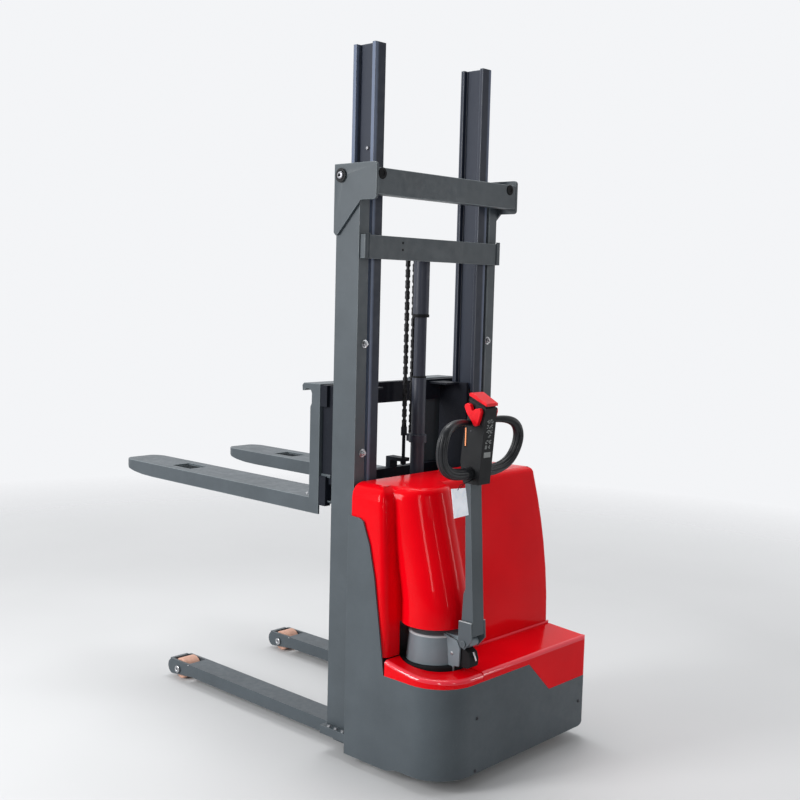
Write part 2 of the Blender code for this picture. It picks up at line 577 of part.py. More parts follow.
def lower_covers():
    seam = -0.200
    well = arc((STEER_X, STEER_Y), WELL_R, 0, 350, 35)
    low = SKIRT_TOP + GAP
    centre = (-BODY_HALF + CORNER_R, BODY_REAR + CORNER_R)

    def rim_plan(inset):
        return ([(-BODY_HALF + inset, -0.195 - inset)] + arc(centre, CORNER_R - inset, 180, 270, 10)
                + [(seam - inset, BODY_REAR + inset), (seam - inset, -0.195 - inset)])

    profile = [(-0.19, low), (-0.19, 0.4062), (-0.24, 0.3970), (-0.33, 0.3850), (-0.456, 0.3780),
               (-0.456, low)]
    lining = [(y, z - COVER_T if z > low else z - 0.1) for y, z in profile]
    rim = low_cover("rim_cover", rim_plan(0.0), rim_plan(COVER_T), profile, lining, (-0.5, 0.5))
    cut(rim, helper(slab, well, 0.3, 0.45), helper(box, (-0.30, 0.0), (-0.262, -0.15), (0.3, 0.45)))

    deck_low = 0.2360
    right = (BODY_HALF - SMALL_CORNER_R, BODY_REAR + SMALL_CORNER_R)

    def deck_plan(inset):
        return ([(seam + 0.0012 + inset, -0.2665 - inset), (seam + 0.0012 + inset, BODY_REAR + inset)]
                + arc(right, SMALL_CORNER_R - inset, 270, 360, 4) + [(BODY_HALF - inset, -0.2665 - inset)])

    profile = [(-0.2600, deck_low), (-0.2600, DECK_TOP), (-0.456, 0.3820), (-0.456, deck_low)]
    lining = [(y, z - COVER_T if z > deck_low else z - 0.1) for y, z in profile]
    deck = low_cover("deck_cover", deck_plan(0.0), deck_plan(COVER_T), profile, lining, (-0.5, 0.5))
    keep = drop_panel()
    below = [(-0.5, 0.1), (-0.5, low), (keep[1][0], low), (keep[2][0], deck_low), (0.5, deck_low), (0.5, 0.1)]
    cut(deck, helper(slab, well, 0.3, 0.45), helper(slab, below, -0.6, -0.333, plane="XZ"),
        helper(box, (-0.5, 0.5), (-0.333, -0.2), (0.1, low)))


# --- power pack under the covers ---------------------------------------------------------------------------
def power_pack():
    floor = DECK_PLATE_Z[1] + GAP
    box("battery", (0.030, 0.360), (-0.200, -0.028), (floor, 0.760), BLACK)
    box("hydraulic_tank", (-0.376, -0.215), (-0.136, -0.030), (floor, 0.600), STEEL)
    pump = rod("pump_motor", "Z", (-0.120, -0.090, (floor + 0.52) / 2), 0.52 - floor, 0.052, BLACK)
    join(pump, helper(box, (-0.175, -0.070), (-0.138, -0.042), (floor, floor + 0.05)))
    box("motor_controller", (-0.180, -0.040), (-0.125, -0.030), (0.560, 0.640), STEEL)
    stop = turned("e_stop_button", [(0.0, -0.020), (0.0090, -0.020), (0.0090, 0.012), (0.0190, 0.014),
                                    (0.0200, 0.022), (0.0150, 0.028), (0.0, 0.029)], "Z",
                  (0.165, -0.065, COVER_TOP), RED, sides=20)
    around(stop, 0.165, -0.065, COVER_TOP)


# --- steered drive unit ------------------------------------------------------------------------------------
def steered_unit():
    floor = DECK_PLATE_Z[1] + GAP
    turned("turntable_ring", [(0.1010, floor), (0.1170, floor), (0.1170, 0.330), (0.1010, 0.330)], "Z",
           (STEER_X, STEER_Y, 0.0), STEEL, sides=40)
    case = rod("gearbox", "Z", (STEER_X, STEER_Y, 0.3075), 0.045, 0.0985, GREY, sides=40)
    join(case, helper(box, (STEER_X + 0.040, STEER_X + 0.092), (STEER_Y - 0.055, STEER_Y + 0.055), (0.070, 0.292)),
         helper(rod, "X", (STEER_X + 0.066, STEER_Y, DRIVE_WHEEL_R), 0.052, 0.075, sides=32),
         helper(rod, "X", (STEER_X + 0.005, STEER_Y, DRIVE_WHEEL_R), 0.075, 0.020))
    around(case, STEER_X, STEER_Y)
    motor = rod("drive_motor", "Z", (STEER_X, STEER_Y, 0.4040), 0.147, 0.070, BLACK, sides=32)
    around(motor, STEER_X, STEER_Y)
    tread = [(0.0203, -0.035), (0.108, -0.035), (DRIVE_WHEEL_R, -0.030), (DRIVE_WHEEL_R, 0.030),
             (0.108, 0.035), (0.0203, 0.035)]
    centre = (STEER_X, STEER_Y, DRIVE_WHEEL_R)
    around(turned("drive_wheel", tread, "X", centre, RUBBER, sides=48), *centre)

    shell = [(0.0715, 0.372), (0.0975, 0.372), (0.0855, 0.4865), (0.0805, 0.4910), (0.0, 0.4910), (0.0, 0.4785),
             (0.0715, 0.4785)]
    drum = turned("steering_drum", shell, "Z", (STEER_X, STEER_Y, 0.0), GREY, sides=40)
    knuckle = ([(-0.330, 0.470)] + arc((TILT_Y, TILT_Z), 0.0165, 280, 80, 10) + [(-0.330, 0.4995)])
    join(drum, helper(slab, knuckle, STEER_X - 0.022, STEER_X + 0.022, plane="YZ"))
    cheek = [(-0.330, 0.378), (-0.372, 0.380), (-0.374, 0.399), (-0.396, 0.402), (-0.398, 0.462),
             (-0.385, 0.486), (-0.330, 0.4985)]
    for _, side in SIDES:
        wall = sorted((STEER_X + side * 0.0235, STEER_X + side * 0.0300))
        join(drum, helper(slab, cheek, *wall, plane="YZ"))
    cut(drum, helper(rod, "Z", (STEER_X, STEER_Y, 0.4155), 0.126, 0.0715, sides=40),
        helper(rod, "X", (STEER_X, TILT_Y, TILT_Z), 0.2, 0.0073))
    around(drum, STEER_X, STEER_Y)


def castor():
    top = 0.175 - GAP
    axle_y = CASTOR_Y - CASTOR_TRAIL
    yoke = rod("castor_yoke", "Z", (CASTOR_X, CASTOR_Y, top - 0.006), 0.012, 0.046, STEEL)
    leg = ([(CASTOR_Y + 0.030, top - 0.004), (CASTOR_Y - 0.045, top - 0.004)]
           + arc((axle_y, CASTOR_R), 0.016, 160, 360, 8))
    for _, side in SIDES:
        wall = sorted((CASTOR_X + side * 0.0275, CASTOR_X + side * 0.0320))
        join(yoke, helper(slab, leg, *wall, plane="YZ"))
    join(yoke, helper(rod, "X", (CASTOR_X, axle_y, CASTOR_R), 0.062, 0.0060, sides=16))
    around(yoke, CASTOR_X, CASTOR_Y)
    tread = [(0.0063, -0.024), (0.056, -0.024), (CASTOR_R, -0.018), (CASTOR_R, 0.018), (0.056, 0.024),
             (0.0063, 0.024)]
    centre = (CASTOR_X, axle_y, CASTOR_R)
    around(turned("castor_wheel", tread, "X", centre, TAN, sides=36), *centre)


# --- tiller ------------------------------------------------------------------------------------------------
LEAN = 0.061                          # the arm's forward lean, in metres of Y per metre of height
ARM_TOP = 1.030
HEAD_HALF = 0.029
BUTTERFLY_Y, BUTTERFLY_Z = -0.445, 1.210


def arm_y(z, offset=0.0):
    """Rear face of the arm at a height."""
    return -0.451 + LEAN * (z - 0.50) + offset


def arm_front(z):
    """Front face of the arm above its thicker root."""
    return -0.4125 + (z - 0.664) / (ARM_TOP - 0.664) * (arm_y(ARM_TOP, 0.021) + 0.4125)


def tiller_arm():
    side = [(arm_y(0.512), 0.512), (arm_y(ARM_TOP), ARM_TOP), (arm_front(ARM_TOP), ARM_TOP),
            (arm_front(0.664), 0.664), (-0.4050, 0.646), (-0.3985, 0.512)]
    arm = slab("tiller_arm", side, STEER_X - 0.028, STEER_X + 0.028, plane="YZ", look=GREY)
    lug = [(-0.452, 0.500), (-0.448, 0.556), (-0.3960, 0.556), (-0.3950, 0.490), (-0.4060, 0.472),
           (-0.4220, 0.466)]
    for _, edge in SIDES:
        wall = sorted((STEER_X + edge * 0.0305, STEER_X + edge * 0.0370))
        bridge = sorted((STEER_X + edge * 0.0260, STEER_X + edge * 0.0320))
        join(arm, helper(slab, lug, *wall, plane="YZ"), helper(box, bridge, (-0.444, -0.402), (0.520, 0.550)))
    cut(arm, helper(rod, "X", (STEER_X, TILT_Y, TILT_Z), 0.2, 0.0073))
    around(arm, STEER_X, TILT_Y, TILT_Z)
    pin = rod("tiller_pin", "X", (STEER_X, TILT_Y, TILT_Z), 0.078, 0.0070, STEEL)
    join(pin, helper(rod, "X", (STEER_X - 0.0395, TILT_Y, TILT_Z), 0.004, 0.0105))
    around(pin, STEER_X, TILT_Y, TILT_Z)


def tiller_head():
    side = [(-0.4540, 1.008), (-0.4580, 1.060), (-0.4745, 1.2545), (-0.4060, 1.2830), (-0.4060, 1.252),
            (-0.3845, 1.155), (-0.3760, 1.075), (-0.3900, 1.008)]
    under_cap = [(-0.4690, 1.2450), (-0.4690, 1.2600), (-0.4160, 1.2865), (-0.4110, 1.2865), (-0.4110, 1.2450)]
    head = slab("tiller_head", side, STEER_X - HEAD_HALF, STEER_X + HEAD_HALF, plane="YZ", look=BLACK)
    join(head, helper(slab, under_cap, STEER_X - 0.0262, STEER_X + 0.0262, plane="YZ"))
    neck = [(arm_y(0.9, -GAP), 0.9), (arm_y(ARM_TOP, -GAP), ARM_TOP + GAP),
            (arm_front(ARM_TOP) + GAP, ARM_TOP + GAP), (arm_front(0.9) + GAP, 0.9)]
    cut(head, helper(slab, neck, STEER_X - 0.0283, STEER_X + 0.0283, plane="YZ"),
        helper(rod, "X", (STEER_X, BUTTERFLY_Y, BUTTERFLY_Z), 0.2, 0.0053))
    for _, edge in SIDES:
        slot = sorted((STEER_X + edge * 0.0240, STEER_X + edge * 0.0400))
        cut(head, helper(box, slot, (-0.3990, -0.3930), (1.1280, 1.1880)))
    around(head, STEER_X, TILT_Y, TILT_Z)

    outer = [(-0.4768, 1.2605), (-0.4768, 1.2700), (-0.4180, 1.3000), (-0.4060, 1.3000), (-0.4048, 1.2905)]
    inner = [(-0.4743, 1.2500), (-0.4743, 1.2684), (-0.4172, 1.2975), (-0.4086, 1.2975), (-0.4072, 1.2500)]
    cap = slab("reverse_cap", outer, STEER_X - HEAD_HALF, STEER_X + HEAD_HALF, plane="YZ", look=RED)
    cut(cap, helper(slab, inner, STEER_X - 0.0266, STEER_X + 0.0266, plane="YZ"))
    around(cap, STEER_X, TILT_Y, TILT_Z)

    for name, edge in SIDES:
        key = sorted((STEER_X + edge * 0.0270, STEER_X + edge * 0.0310))
        label = "lift_button" if edge < 0 else "lower_button"
        box(label, key, (-0.3987, -0.3933), (1.1283, 1.1877), ORANGE)
        grip(name, edge)
    butterfly()


def grip(name, edge):
    """D-shaped handle loop: a round bar from the head's shoulder out, down and back to its hub."""
    route = [(0.026, 1.203, -0.409, 0.0095), (0.070, 1.2095, -0.417, 0.0105), (0.125, 1.212, -0.433, 0.0120),
             (0.176, 1.195, -0.440, 0.0160), (0.195, 1.154, -0.4405, 0.0178), (0.190, 1.110, -0.433, 0.0178),
             (0.170, 1.073, -0.426, 0.0178), (0.135, 1.052, -0.421, 0.0182), (0.095, 1.044, -0.418, 0.0188),
             (0.060, 1.042, -0.416, 0.0190), (0.026, 1.042, -0.4155, 0.0190)]
    curve = bpy.data.curves.new(name, "CURVE")
    curve.dimensions = "3D"
    curve.bevel_depth = 0.0178
    curve.bevel_resolution = 2
    curve.use_fill_caps = True
    curve.resolution_u = 3
    line = curve.splines.new("NURBS")
    line.points.add(len(route) - 1)
    for point, (out, z, y, radius) in zip(line.points, route):
        point.co = (STEER_X + edge * out, y, z, 1.0)
        point.radius = radius / curve.bevel_depth
    line.order_u = 4
    line.use_endpoint_u = True
    drawn = bpy.data.objects.new(name, curve)
    CUTTERS.objects.link(drawn)
    bpy.context.view_layer.update()
    mesh = bpy.data.meshes.new_from_object(drawn.evaluated_get(bpy.context.evaluated_depsgraph_get()))
    bpy.data.objects.remove(drawn, do_unlink=True)
    shape = bmesh.new()
    shape.from_mesh(mesh)
    bmesh.ops.remove_doubles(shape, verts=shape.verts, dist=1e-5)
    loop = finish(f"{name}_grip", shape, BLACK)
    face = sorted((STEER_X, STEER_X + edge * (HEAD_HALF + 0.0012)))
    cut(loop, helper(box, face, (-0.55, -0.30), (0.95, 1.35)))
    around(loop, STEER_X, TILT_Y, TILT_Z)


def butterfly():
    """Travel control: a V of two paddles on each side of the head, on one shaft through it."""
    paddles = [(0.001, -0.0135), (-0.007, -0.009), (-0.014, 0.008), (-0.0205, 0.030), (-0.020, 0.040),
               (-0.013, 0.0455), (0.002, 0.042), (0.0145, 0.0345), (0.0230, 0.055), (0.034, 0.0585),
               (0.0445, 0.053), (0.0465, 0.046), (0.0345, 0.0225), (0.0170, 0.0045), (0.0080, -0.0105)]
    shaft = rod("butterfly", "X", (STEER_X, BUTTERFLY_Y, BUTTERFLY_Z), 0.078, 0.0050, RED, sides=16)
    outline = [(BUTTERFLY_Y + y, BUTTERFLY_Z + z) for y, z in paddles]
    for _, edge in SIDES:
        wall = sorted((STEER_X + edge * (HEAD_HALF + 0.0012), STEER_X + edge * (HEAD_HALF + 0.0155)))
        join(shaft, helper(slab, outline, *wall, plane="YZ"))
    around(shaft, STEER_X, BUTTERFLY_Y, BUTTERFLY_Z)


# --- build -------------------------------------------------------------------------------------------------
chassis()
legs()
fixed_mast()
lift_cylinder()
moving_mast()
carriage()
forks()
upper_covers()
lower_covers()
power_pack()
steered_unit()
castor()
tiller_arm()
tiller_head()

for item in PARTS.objects:
    if item.type == "MESH":
        item.data.shade_smooth()
        item.data.set_sharp_from_angle(angle=math.radians(35))
bpy.context.view_layer.update()
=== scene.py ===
"""Looks of the walkie stacker around its CAD frame.

Every CAD solid is drawn again with rounded edges and a procedural material. The two chain runs and the
two grips are drawn afresh, and small fittings are added: bolts, plugs, collars, marks and the blank tag.
"""

import json
import math

import bmesh
import bpy
import numpy as np
from mathutils import Matrix, Vector


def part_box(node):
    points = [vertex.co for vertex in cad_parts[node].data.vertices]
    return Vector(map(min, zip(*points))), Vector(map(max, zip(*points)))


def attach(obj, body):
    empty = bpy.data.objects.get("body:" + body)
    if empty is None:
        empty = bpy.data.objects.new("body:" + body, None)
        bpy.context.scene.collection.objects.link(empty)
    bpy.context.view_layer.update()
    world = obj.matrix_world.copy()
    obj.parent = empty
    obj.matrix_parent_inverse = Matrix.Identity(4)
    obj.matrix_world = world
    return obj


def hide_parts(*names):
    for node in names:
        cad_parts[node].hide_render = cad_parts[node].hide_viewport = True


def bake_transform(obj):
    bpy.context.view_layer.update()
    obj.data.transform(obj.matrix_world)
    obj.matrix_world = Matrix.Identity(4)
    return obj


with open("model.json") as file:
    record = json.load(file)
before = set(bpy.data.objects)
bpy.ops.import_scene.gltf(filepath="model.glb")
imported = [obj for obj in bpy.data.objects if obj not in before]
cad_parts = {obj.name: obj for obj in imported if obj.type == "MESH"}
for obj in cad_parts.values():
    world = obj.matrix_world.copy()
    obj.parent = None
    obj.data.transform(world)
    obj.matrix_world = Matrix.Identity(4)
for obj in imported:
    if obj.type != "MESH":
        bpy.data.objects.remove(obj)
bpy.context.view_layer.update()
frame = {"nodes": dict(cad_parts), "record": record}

# The truck's own frame: X = 0 on the mast's centre plane, Y = 0 at the fixed mast's rear face and
# Z = 0 on the floor. OFFSET carries it into the shared frame.
OFFSET = Vector((sum(c.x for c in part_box("chassis_frame")) / 2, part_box("left_outer_channel")[0].y, 0.0))
SIDES = (("left", -1), ("right", 1))
STEER_X, STEER_Y = -0.230, -0.262      # steering axis; the tiller's middle plane is at STEER_X
CYLINDER_AT = (0.0, 0.045, 0.0)        # lift cylinder's axis
STUB_X, STUB_Y, STUB_Z = 0.3800, 0.078, 1.995      # outer face of the bosses at the fixed mast's head
LOAD_X, LOAD_Y, LOAD_Z = 0.272, 1.050, 0.042       # load wheel centres
MAST_BOLT_X = 0.3290                   # bolts on the mast's rear
HUB_Y, HUB_Z = -0.4157, 1.042          # where the grips' lower ends enter the tiller head
TO_REAR, TO_TOP = (0, -1, 0), (0, 0, 1)
BODY_OF = {n: b for b, ns in frame["record"]["behaviour"]["bodies"].items() for n in ns}


# --- materials ---------------------------------------------------------------------------------------------
class Look:
    """A small builder for node materials."""

    def __init__(self, name):
        self.mat = bpy.data.materials.new(name)
        self.mat.use_nodes = True
        self.tree = self.mat.node_tree
        self.bsdf = self.tree.nodes["Principled BSDF"]
        self.coords = self.tree.nodes.new("ShaderNodeTexCoord").outputs["Object"]

    def set(self, **values):
        for key, value in values.items():
            self.bsdf.inputs[key.replace("_", " ")].default_value = value
        return self

    def noise(self, scale, detail, rough, stretch=None):
        node = self.tree.nodes.new("ShaderNodeTexNoise")
        node.inputs["Scale"].default_value = scale
        node.inputs["Detail"].default_value = detail
        node.inputs["Roughness"].default_value = rough
        source = self.coords
        if stretch:
            mapping = self.tree.nodes.new("ShaderNodeMapping")
            mapping.inputs["Scale"].default_value = stretch
            self.tree.links.new(source, mapping.inputs["Vector"])
            source = mapping.outputs["Vector"]
        self.tree.links.new(source, node.inputs["Vector"])
        return node.outputs["Fac"]

    def ramp(self, fac, stops):
        node = self.tree.nodes.new("ShaderNodeValToRGB")
        ramp = node.color_ramp
        while len(ramp.elements) < len(stops):
            ramp.elements.new(0.5)
        for element, (pos, color) in zip(ramp.elements, stops):
            element.position = pos
            element.color = (*color, 1.0)
        self.tree.links.new(fac, node.inputs["Fac"])
        return node.outputs["Color"]

    def span(self, fac, low, high, start=0.3, end=0.7):
        """Map start..end of a value to low..high."""
        node = self.tree.nodes.new("ShaderNodeMapRange")
        node.inputs["From Min"].default_value = start
        node.inputs["From Max"].default_value = end
        node.inputs["To Min"].default_value = low
        node.inputs["To Max"].default_value = high
        self.tree.links.new(fac, node.inputs["Value"])
        return node.outputs["Result"]

    def math(self, kind, a, b):
        node = self.tree.nodes.new("ShaderNodeMath")
        node.operation = kind
        for socket, value in zip(node.inputs, (a, b)):
            if isinstance(value, (int, float)):
                socket.default_value = value
            else:
                self.tree.links.new(value, socket)
        return node.outputs["Value"]

    def mix(self, fac, a, b):
        node = self.tree.nodes.new("ShaderNodeMix")
        node.data_type = "RGBA"
        for key, value in (("Factor", fac), ("A", a), ("B", b)):
            socket = [s for s in node.inputs if s.name == key and s.enabled][-1]
            if isinstance(value, tuple):
                socket.default_value = (*value, 1.0)
            else:
                self.tree.links.new(value, socket)
        return [s for s in node.outputs if s.enabled][-1]

    def bump(self, height, strength, distance):
        node = self.tree.nodes.new("ShaderNodeBump")
        node.inputs["Strength"].default_value = strength
        node.inputs["Distance"].default_value = distance
        self.tree.links.new(height, node.inputs["Height"])
        self.tree.links.new(node.outputs["Normal"], self.bsdf.inputs["Normal"])
        return self

    def link(self, source, name):
        self.tree.links.new(source, self.bsdf.inputs[name])
        return self


MOTTLE, DUST, DUST_COLOR = 0.10, 0.05, (0.45, 0.45, 0.44)


def painted(name, color, rough, gloss=0.34):
    """Sprayed enamel: faint mottling, orange peel and a little dust."""
    look = Look(name).set(Metallic=0.0, Specular_IOR_Level=gloss)
    light = tuple(min(1.0, c * (1 + MOTTLE) + 0.001) for c in color)
    dark = tuple(c * (1 - MOTTLE) for c in color)
    base = look.ramp(look.noise(6.0, 4.0, 0.6), [(0.32, dark), (0.68, light)])
    specks = look.span(look.noise(230.0, 2.0, 0.5), 0.0, DUST, 0.62, 0.80)
    look.link(look.mix(specks, base, DUST_COLOR), "Base Color")
    look.link(look.span(look.noise(38.0, 3.0, 0.6), rough - 0.05, rough + 0.08), "Roughness")
    look.bump(look.noise(520.0, 2.0, 0.5), 0.10, 0.0006)
    return look.mat


def gloss_cover(name, color, coat=0.15):
    """Glossy moulded cover with a clear, slightly wavy skin."""
    look = Look(name).set(Metallic=0.0)
    deep = tuple(c * 0.88 for c in color)
    look.link(look.ramp(look.noise(4.0, 2.0, 0.5), [(0.35, deep), (0.65, color)]), "Base Color")
    look.link(look.span(look.noise(24.0, 4.0, 0.65), 0.16, 0.24), "Roughness")
    look.set(Coat_Weight=coat, Coat_Roughness=0.04, Specular_IOR_Level=0.03)
    look.bump(look.noise(9.0, 2.0, 0.4), 0.20, 0.0014)
    return look.mat


def plastic(name, color, rough, grain=900.0, strength=0.35, gloss=0.18):
    """Moulded plastic, rubber or card: uneven tone and a fine grain."""
    look = Look(name).set(Metallic=0.0, Specular_IOR_Level=gloss)
    light = tuple(c * 1.35 + 0.001 for c in color)
    look.link(look.ramp(look.noise(30.0, 4.0, 0.6), [(0.35, color), (0.72, light)]), "Base Color")
    look.link(look.span(look.noise(60.0, 3.0, 0.6), rough - 0.06, rough + 0.10), "Roughness")
    look.bump(look.noise(grain, 3.0, 0.7), strength, 0.0005)
    return look.mat


STREAK = 400.0


def metal(name, color, rough, stretch=(1.0, 1.0, 1.0)):
    """Bare or plated metal with fine streaks."""
    look = Look(name).set(Metallic=1.0)
    dark = tuple(c * 0.72 for c in color)
    look.link(look.ramp(look.noise(18.0, 4.0, 0.6), [(0.3, dark), (0.7, color)]), "Base Color")
    look.link(look.span(look.noise(STREAK, 3.0, 0.6, stretch), rough - 0.06, rough + 0.12), "Roughness")
    look.bump(look.noise(STREAK, 2.0, 0.5, stretch), 0.12, 0.0004)
    return look.mat


GREY = painted("grey_enamel", (0.060, 0.074, 0.085), 0.42)
DRUM_GREY = painted("drum_enamel", (0.143, 0.172, 0.192), 0.36)
NAVY = painted("dark_enamel", (0.030, 0.035, 0.052), 0.44)
# near-black: partly the carriage's own dark paint, partly painted shade on its end plates, which sit in a
# shaded gap
BLACK_PAINT_AND_SHADE = painted("black_enamel", (0.009, 0.011, 0.017), 0.50, gloss=0.10)
# painted highlights: lighter copies of the paints, put on rounded edges where glints would show
GREY_HIGHLIGHT = painted("grey_edge", (0.135, 0.160, 0.172), 0.30)
DRUM_HIGHLIGHT = painted("drum_edge", (0.40, 0.42, 0.43), 0.28)
NAVY_HIGHLIGHT = painted("dark_edge", (0.075, 0.085, 0.105), 0.32)
RED = gloss_cover("red_gloss", (0.74, 0.0008, 0.0060))
# painted highlights on the red covers: lighter, pinker reds for rounded edges; the rolled edge's copy also
# has a real heavy clear coat
RED_HIGHLIGHT = gloss_cover("red_edge", (0.80, 0.045, 0.065))
RED_ROLL_GLOSS_AND_HIGHLIGHT = gloss_cover("red_rolled_edge", (0.80, 0.036, 0.056), 0.9)
BLACK = plastic("black_grain", (0.0080, 0.0088, 0.0100), 0.50)
SOFT_BLACK = plastic("black_rubber", (0.0050, 0.0056, 0.0066), 0.62, 600.0, 0.5)
GRIP = plastic("grip_rubber", (0.0045, 0.0055, 0.0078), 0.40, 500.0, 0.4, 0.45)
KEY_RED = plastic("key_red", (0.62, 0.0015, 0.008), 0.34, 700.0, 0.2)
ORANGE = plastic("key_orange", (0.90, 0.33, 0.14), 0.30, 500.0, 0.1)
TAN = plastic("tan_polyurethane", (0.48, 0.28, 0.21), 0.48, 300.0, 0.25)
TYRE = plastic("black_tyre", (0.030, 0.030, 0.032), 0.70, 200.0, 0.6)
CARD = plastic("tag_card", (0.88, 0.92, 0.98), 0.60, 350.0, 0.25)
PRINT = plastic("pale_print", (0.22, 0.23, 0.23), 0.55, 500.0, 0.1)
STEEL = metal("machined_steel", (0.42, 0.42, 0.43), 0.36)
DARK_STEEL = metal("dark_steel", (0.10, 0.10, 0.11), 0.42)
ZINC = metal("zinc_plate", (0.52, 0.53, 0.55), 0.34)
DARK_ZINC = metal("dull_zinc", (0.30, 0.30, 0.32), 0.42)
CHROME = metal("chromed_rod", (0.78, 0.79, 0.81), 0.12, (1.0, 1.0, 0.05))
CHAIN = metal("oiled_chain", (0.036, 0.036, 0.038), 0.46)


# painted shade: the mast channels' recessed webs are coloured much darker than their outer flanges
WEB_SHADE_COLOR, FLANGE_COLOR = (0.016, 0.022, 0.038), (0.122, 0.152, 0.222)
FLANGE_FROM, FLANGE_FULL = 0.2900, 0.3000          # distance out from the mast's centre plane
BORDER_WAVE = 0.004                                      # waviness of that border


def greased_track(name):
    """Dark enamel with painted shade: the webs, recessed between the flanges, are coloured darker than the
    outer flanges.
    """
    look = Look(name).set(Metallic=0.0, Specular_IOR_Level=0.25)
    split = look.tree.nodes.new("ShaderNodeSeparateXYZ")
    look.tree.links.new(look.coords, split.inputs[0])
    out = look.math("ABSOLUTE", look.math("SUBTRACT", split.outputs["X"], OFFSET.x), 0.0)
    wavy_out = look.math("ADD", out, look.math("MULTIPLY", look.noise(40.0, 3.0, 0.6), BORDER_WAVE))
    flange = look.span(wavy_out, 0.0, 1.0, FLANGE_FROM, FLANGE_FULL)
    look.link(look.mix(flange, WEB_SHADE_COLOR, FLANGE_COLOR), "Base Color")
    look.link(look.span(look.noise(38.0, 3.0, 0.6), 0.36, 0.50), "Roughness")
    look.bump(look.noise(520.0, 2.0, 0.5), 0.10, 0.0006)
    return look.mat


SHADED_TRACK = greased_track("greased_track")
LOOKS = {"grey_paint": GREY, "red_paint": RED, "black_plastic": BLACK, "bare_steel": STEEL,
         "chromed_rod": CHROME, "load_tyre": TAN, "drive_tyre": TYRE, "orange_key": ORANGE}
SLOT_OF = {row["node"]: row["material_slot"] for row in frame["record"]["subparts"]}


# --- building blocks ---------------------------------------------------------------------------------------
ALL_SMOOTH = 180


def ship(name, shape, look, body, replaces=(), smooth=32.0):
    """Turn a bmesh drawn in the truck's frame into a piece; edges over smooth degrees stay sharp."""
    mesh = bpy.data.meshes.new(name)
    bmesh.ops.recalc_face_normals(shape, faces=shape.faces)
    shape.to_mesh(mesh)
    shape.free()
    mesh.transform(Matrix.Translation(OFFSET))
    piece = bpy.data.objects.new(name, mesh)
    bpy.context.scene.collection.objects.link(piece)
    mesh.materials.append(look)
    mesh.shade_smooth()
    if smooth < ALL_SMOOTH:
        mesh.set_sharp_from_angle(angle=math.radians(smooth))
    if body:
        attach(piece, body)
    if replaces:
        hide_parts(*replaces)
    return piece


# The low covers' plan, taken in by 1 to 1.5 mm so that an edge on the outline itself is found.
COVER_SIDE, COVER_REAR, COVER_SEAM_Z = 0.3985, -0.4530, 0.36
CORNER_X, CORNER_Y, CORNER_R = -0.260, -0.314, 0.1385


def on_outline(at):
    """True on the outer plan of the low covers: sides, rounded corner or rear."""
    if at.x < CORNER_X and at.y < CORNER_Y:
        outside = math.hypot(at.x - CORNER_X, at.y - CORNER_Y) > CORNER_R
    else:
        outside = abs(at.x) > COVER_SIDE or at.y < COVER_REAR
    return outside and at.z > COVER_SEAM_Z


MERGE = 2e-5                           # vertices nearer than this are one
FLAT_DEG, FOLD_DEG, BEVEL_DEG = 0.6, 25, 30.0
LEVEL = 0.6                            # an edge that climbs less than this share of its length is level


def refine(node, width, segments, look, rim, pick):
    """The CAD node's own solid with its flat faces merged and its edges rounded.

    The bevel's faces take the look "rim", a lighter copy of the paint that is a painted highlight on the
    edges; "pick" limits it to the folded, level edges whose middle it accepts.
    """
    shape = bmesh.new()
    shape.from_mesh(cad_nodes[node].data)
    bmesh.ops.remove_doubles(shape, verts=shape.verts, dist=MERGE)
    bmesh.ops.dissolve_limit(shape, angle_limit=math.radians(FLAT_DEG), verts=shape.verts, edges=shape.edges)
    bmesh.ops.translate(shape, verts=shape.verts, vec=-OFFSET)
    if pick:
        weight = shape.edges.layers.float.new("bevel_weight_edge")
        for edge in shape.edges:
            low, high = (v.co for v in edge.verts)
            level = abs(high.z - low.z) < LEVEL * (high - low).length
            folded = len(edge.link_faces) == 2 and edge.calc_face_angle(0.0) > math.radians(FOLD_DEG)
            edge[weight] = 1.0 if level and folded and pick((low + high) / 2) else 0.0
    piece = ship(node + "_body", shape, look, BODY_OF[node], (node,))
    bevel = piece.modifiers.new("edges", "BEVEL")
    bevel.width = width
    bevel.segments = segments
    bevel.limit_method = "WEIGHT" if pick else "ANGLE"
    bevel.angle_limit = math.radians(BEVEL_DEG)
    bevel.harden_normals = True
    bevel.use_clamp_overlap = not pick
    if rim:
        piece.data.materials.append(rim)
        bevel.material = 1


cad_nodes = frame["nodes"]
# the carriage frame's near-black look is partly painted shade
OWN_LOOK = {"carriage_frame": BLACK_PAINT_AND_SHADE, "lift_plunger": NAVY, "cylinder_sleeve": NAVY, "cylinder_barrel": NAVY,
            "left_inner_channel": SHADED_TRACK, "right_inner_channel": SHADED_TRACK, "pulley_tie_bar": NAVY,
            "steering_drum": DRUM_GREY, "tiller_pin": GREY, "butterfly": KEY_RED, "reverse_cap": KEY_RED,
            "e_stop_button": KEY_RED, "castor_yoke": ZINC, "chain_pulley": DARK_STEEL, "chain_anchor": BLACK_PAINT_AND_SHADE}
OWN_LOOK.update({f"{name}_{part}_roller": DARK_STEEL for name, _ in SIDES
                 for part in ("lower", "upper", "foot")})
OWN_LOOK.update({f"{name}_load_axle": DARK_ZINC for name, _ in SIDES})
EDGE = {"left_fork": 0.0040, "right_fork": 0.0040, "left_leg": 0.0045, "right_leg": 0.0045,
        "left_outer_channel": 0.0045, "right_outer_channel": 0.0045, "left_inner_channel": 0.0030,
        "right_inner_channel": 0.0030, "deck_cover": 0.0120, "rim_cover": 0.0130, "steering_drum": 0.0022,
        "tiller_arm": 0.0030, "tiller_head": 0.0030, "upper_crossbar": 0.0025}
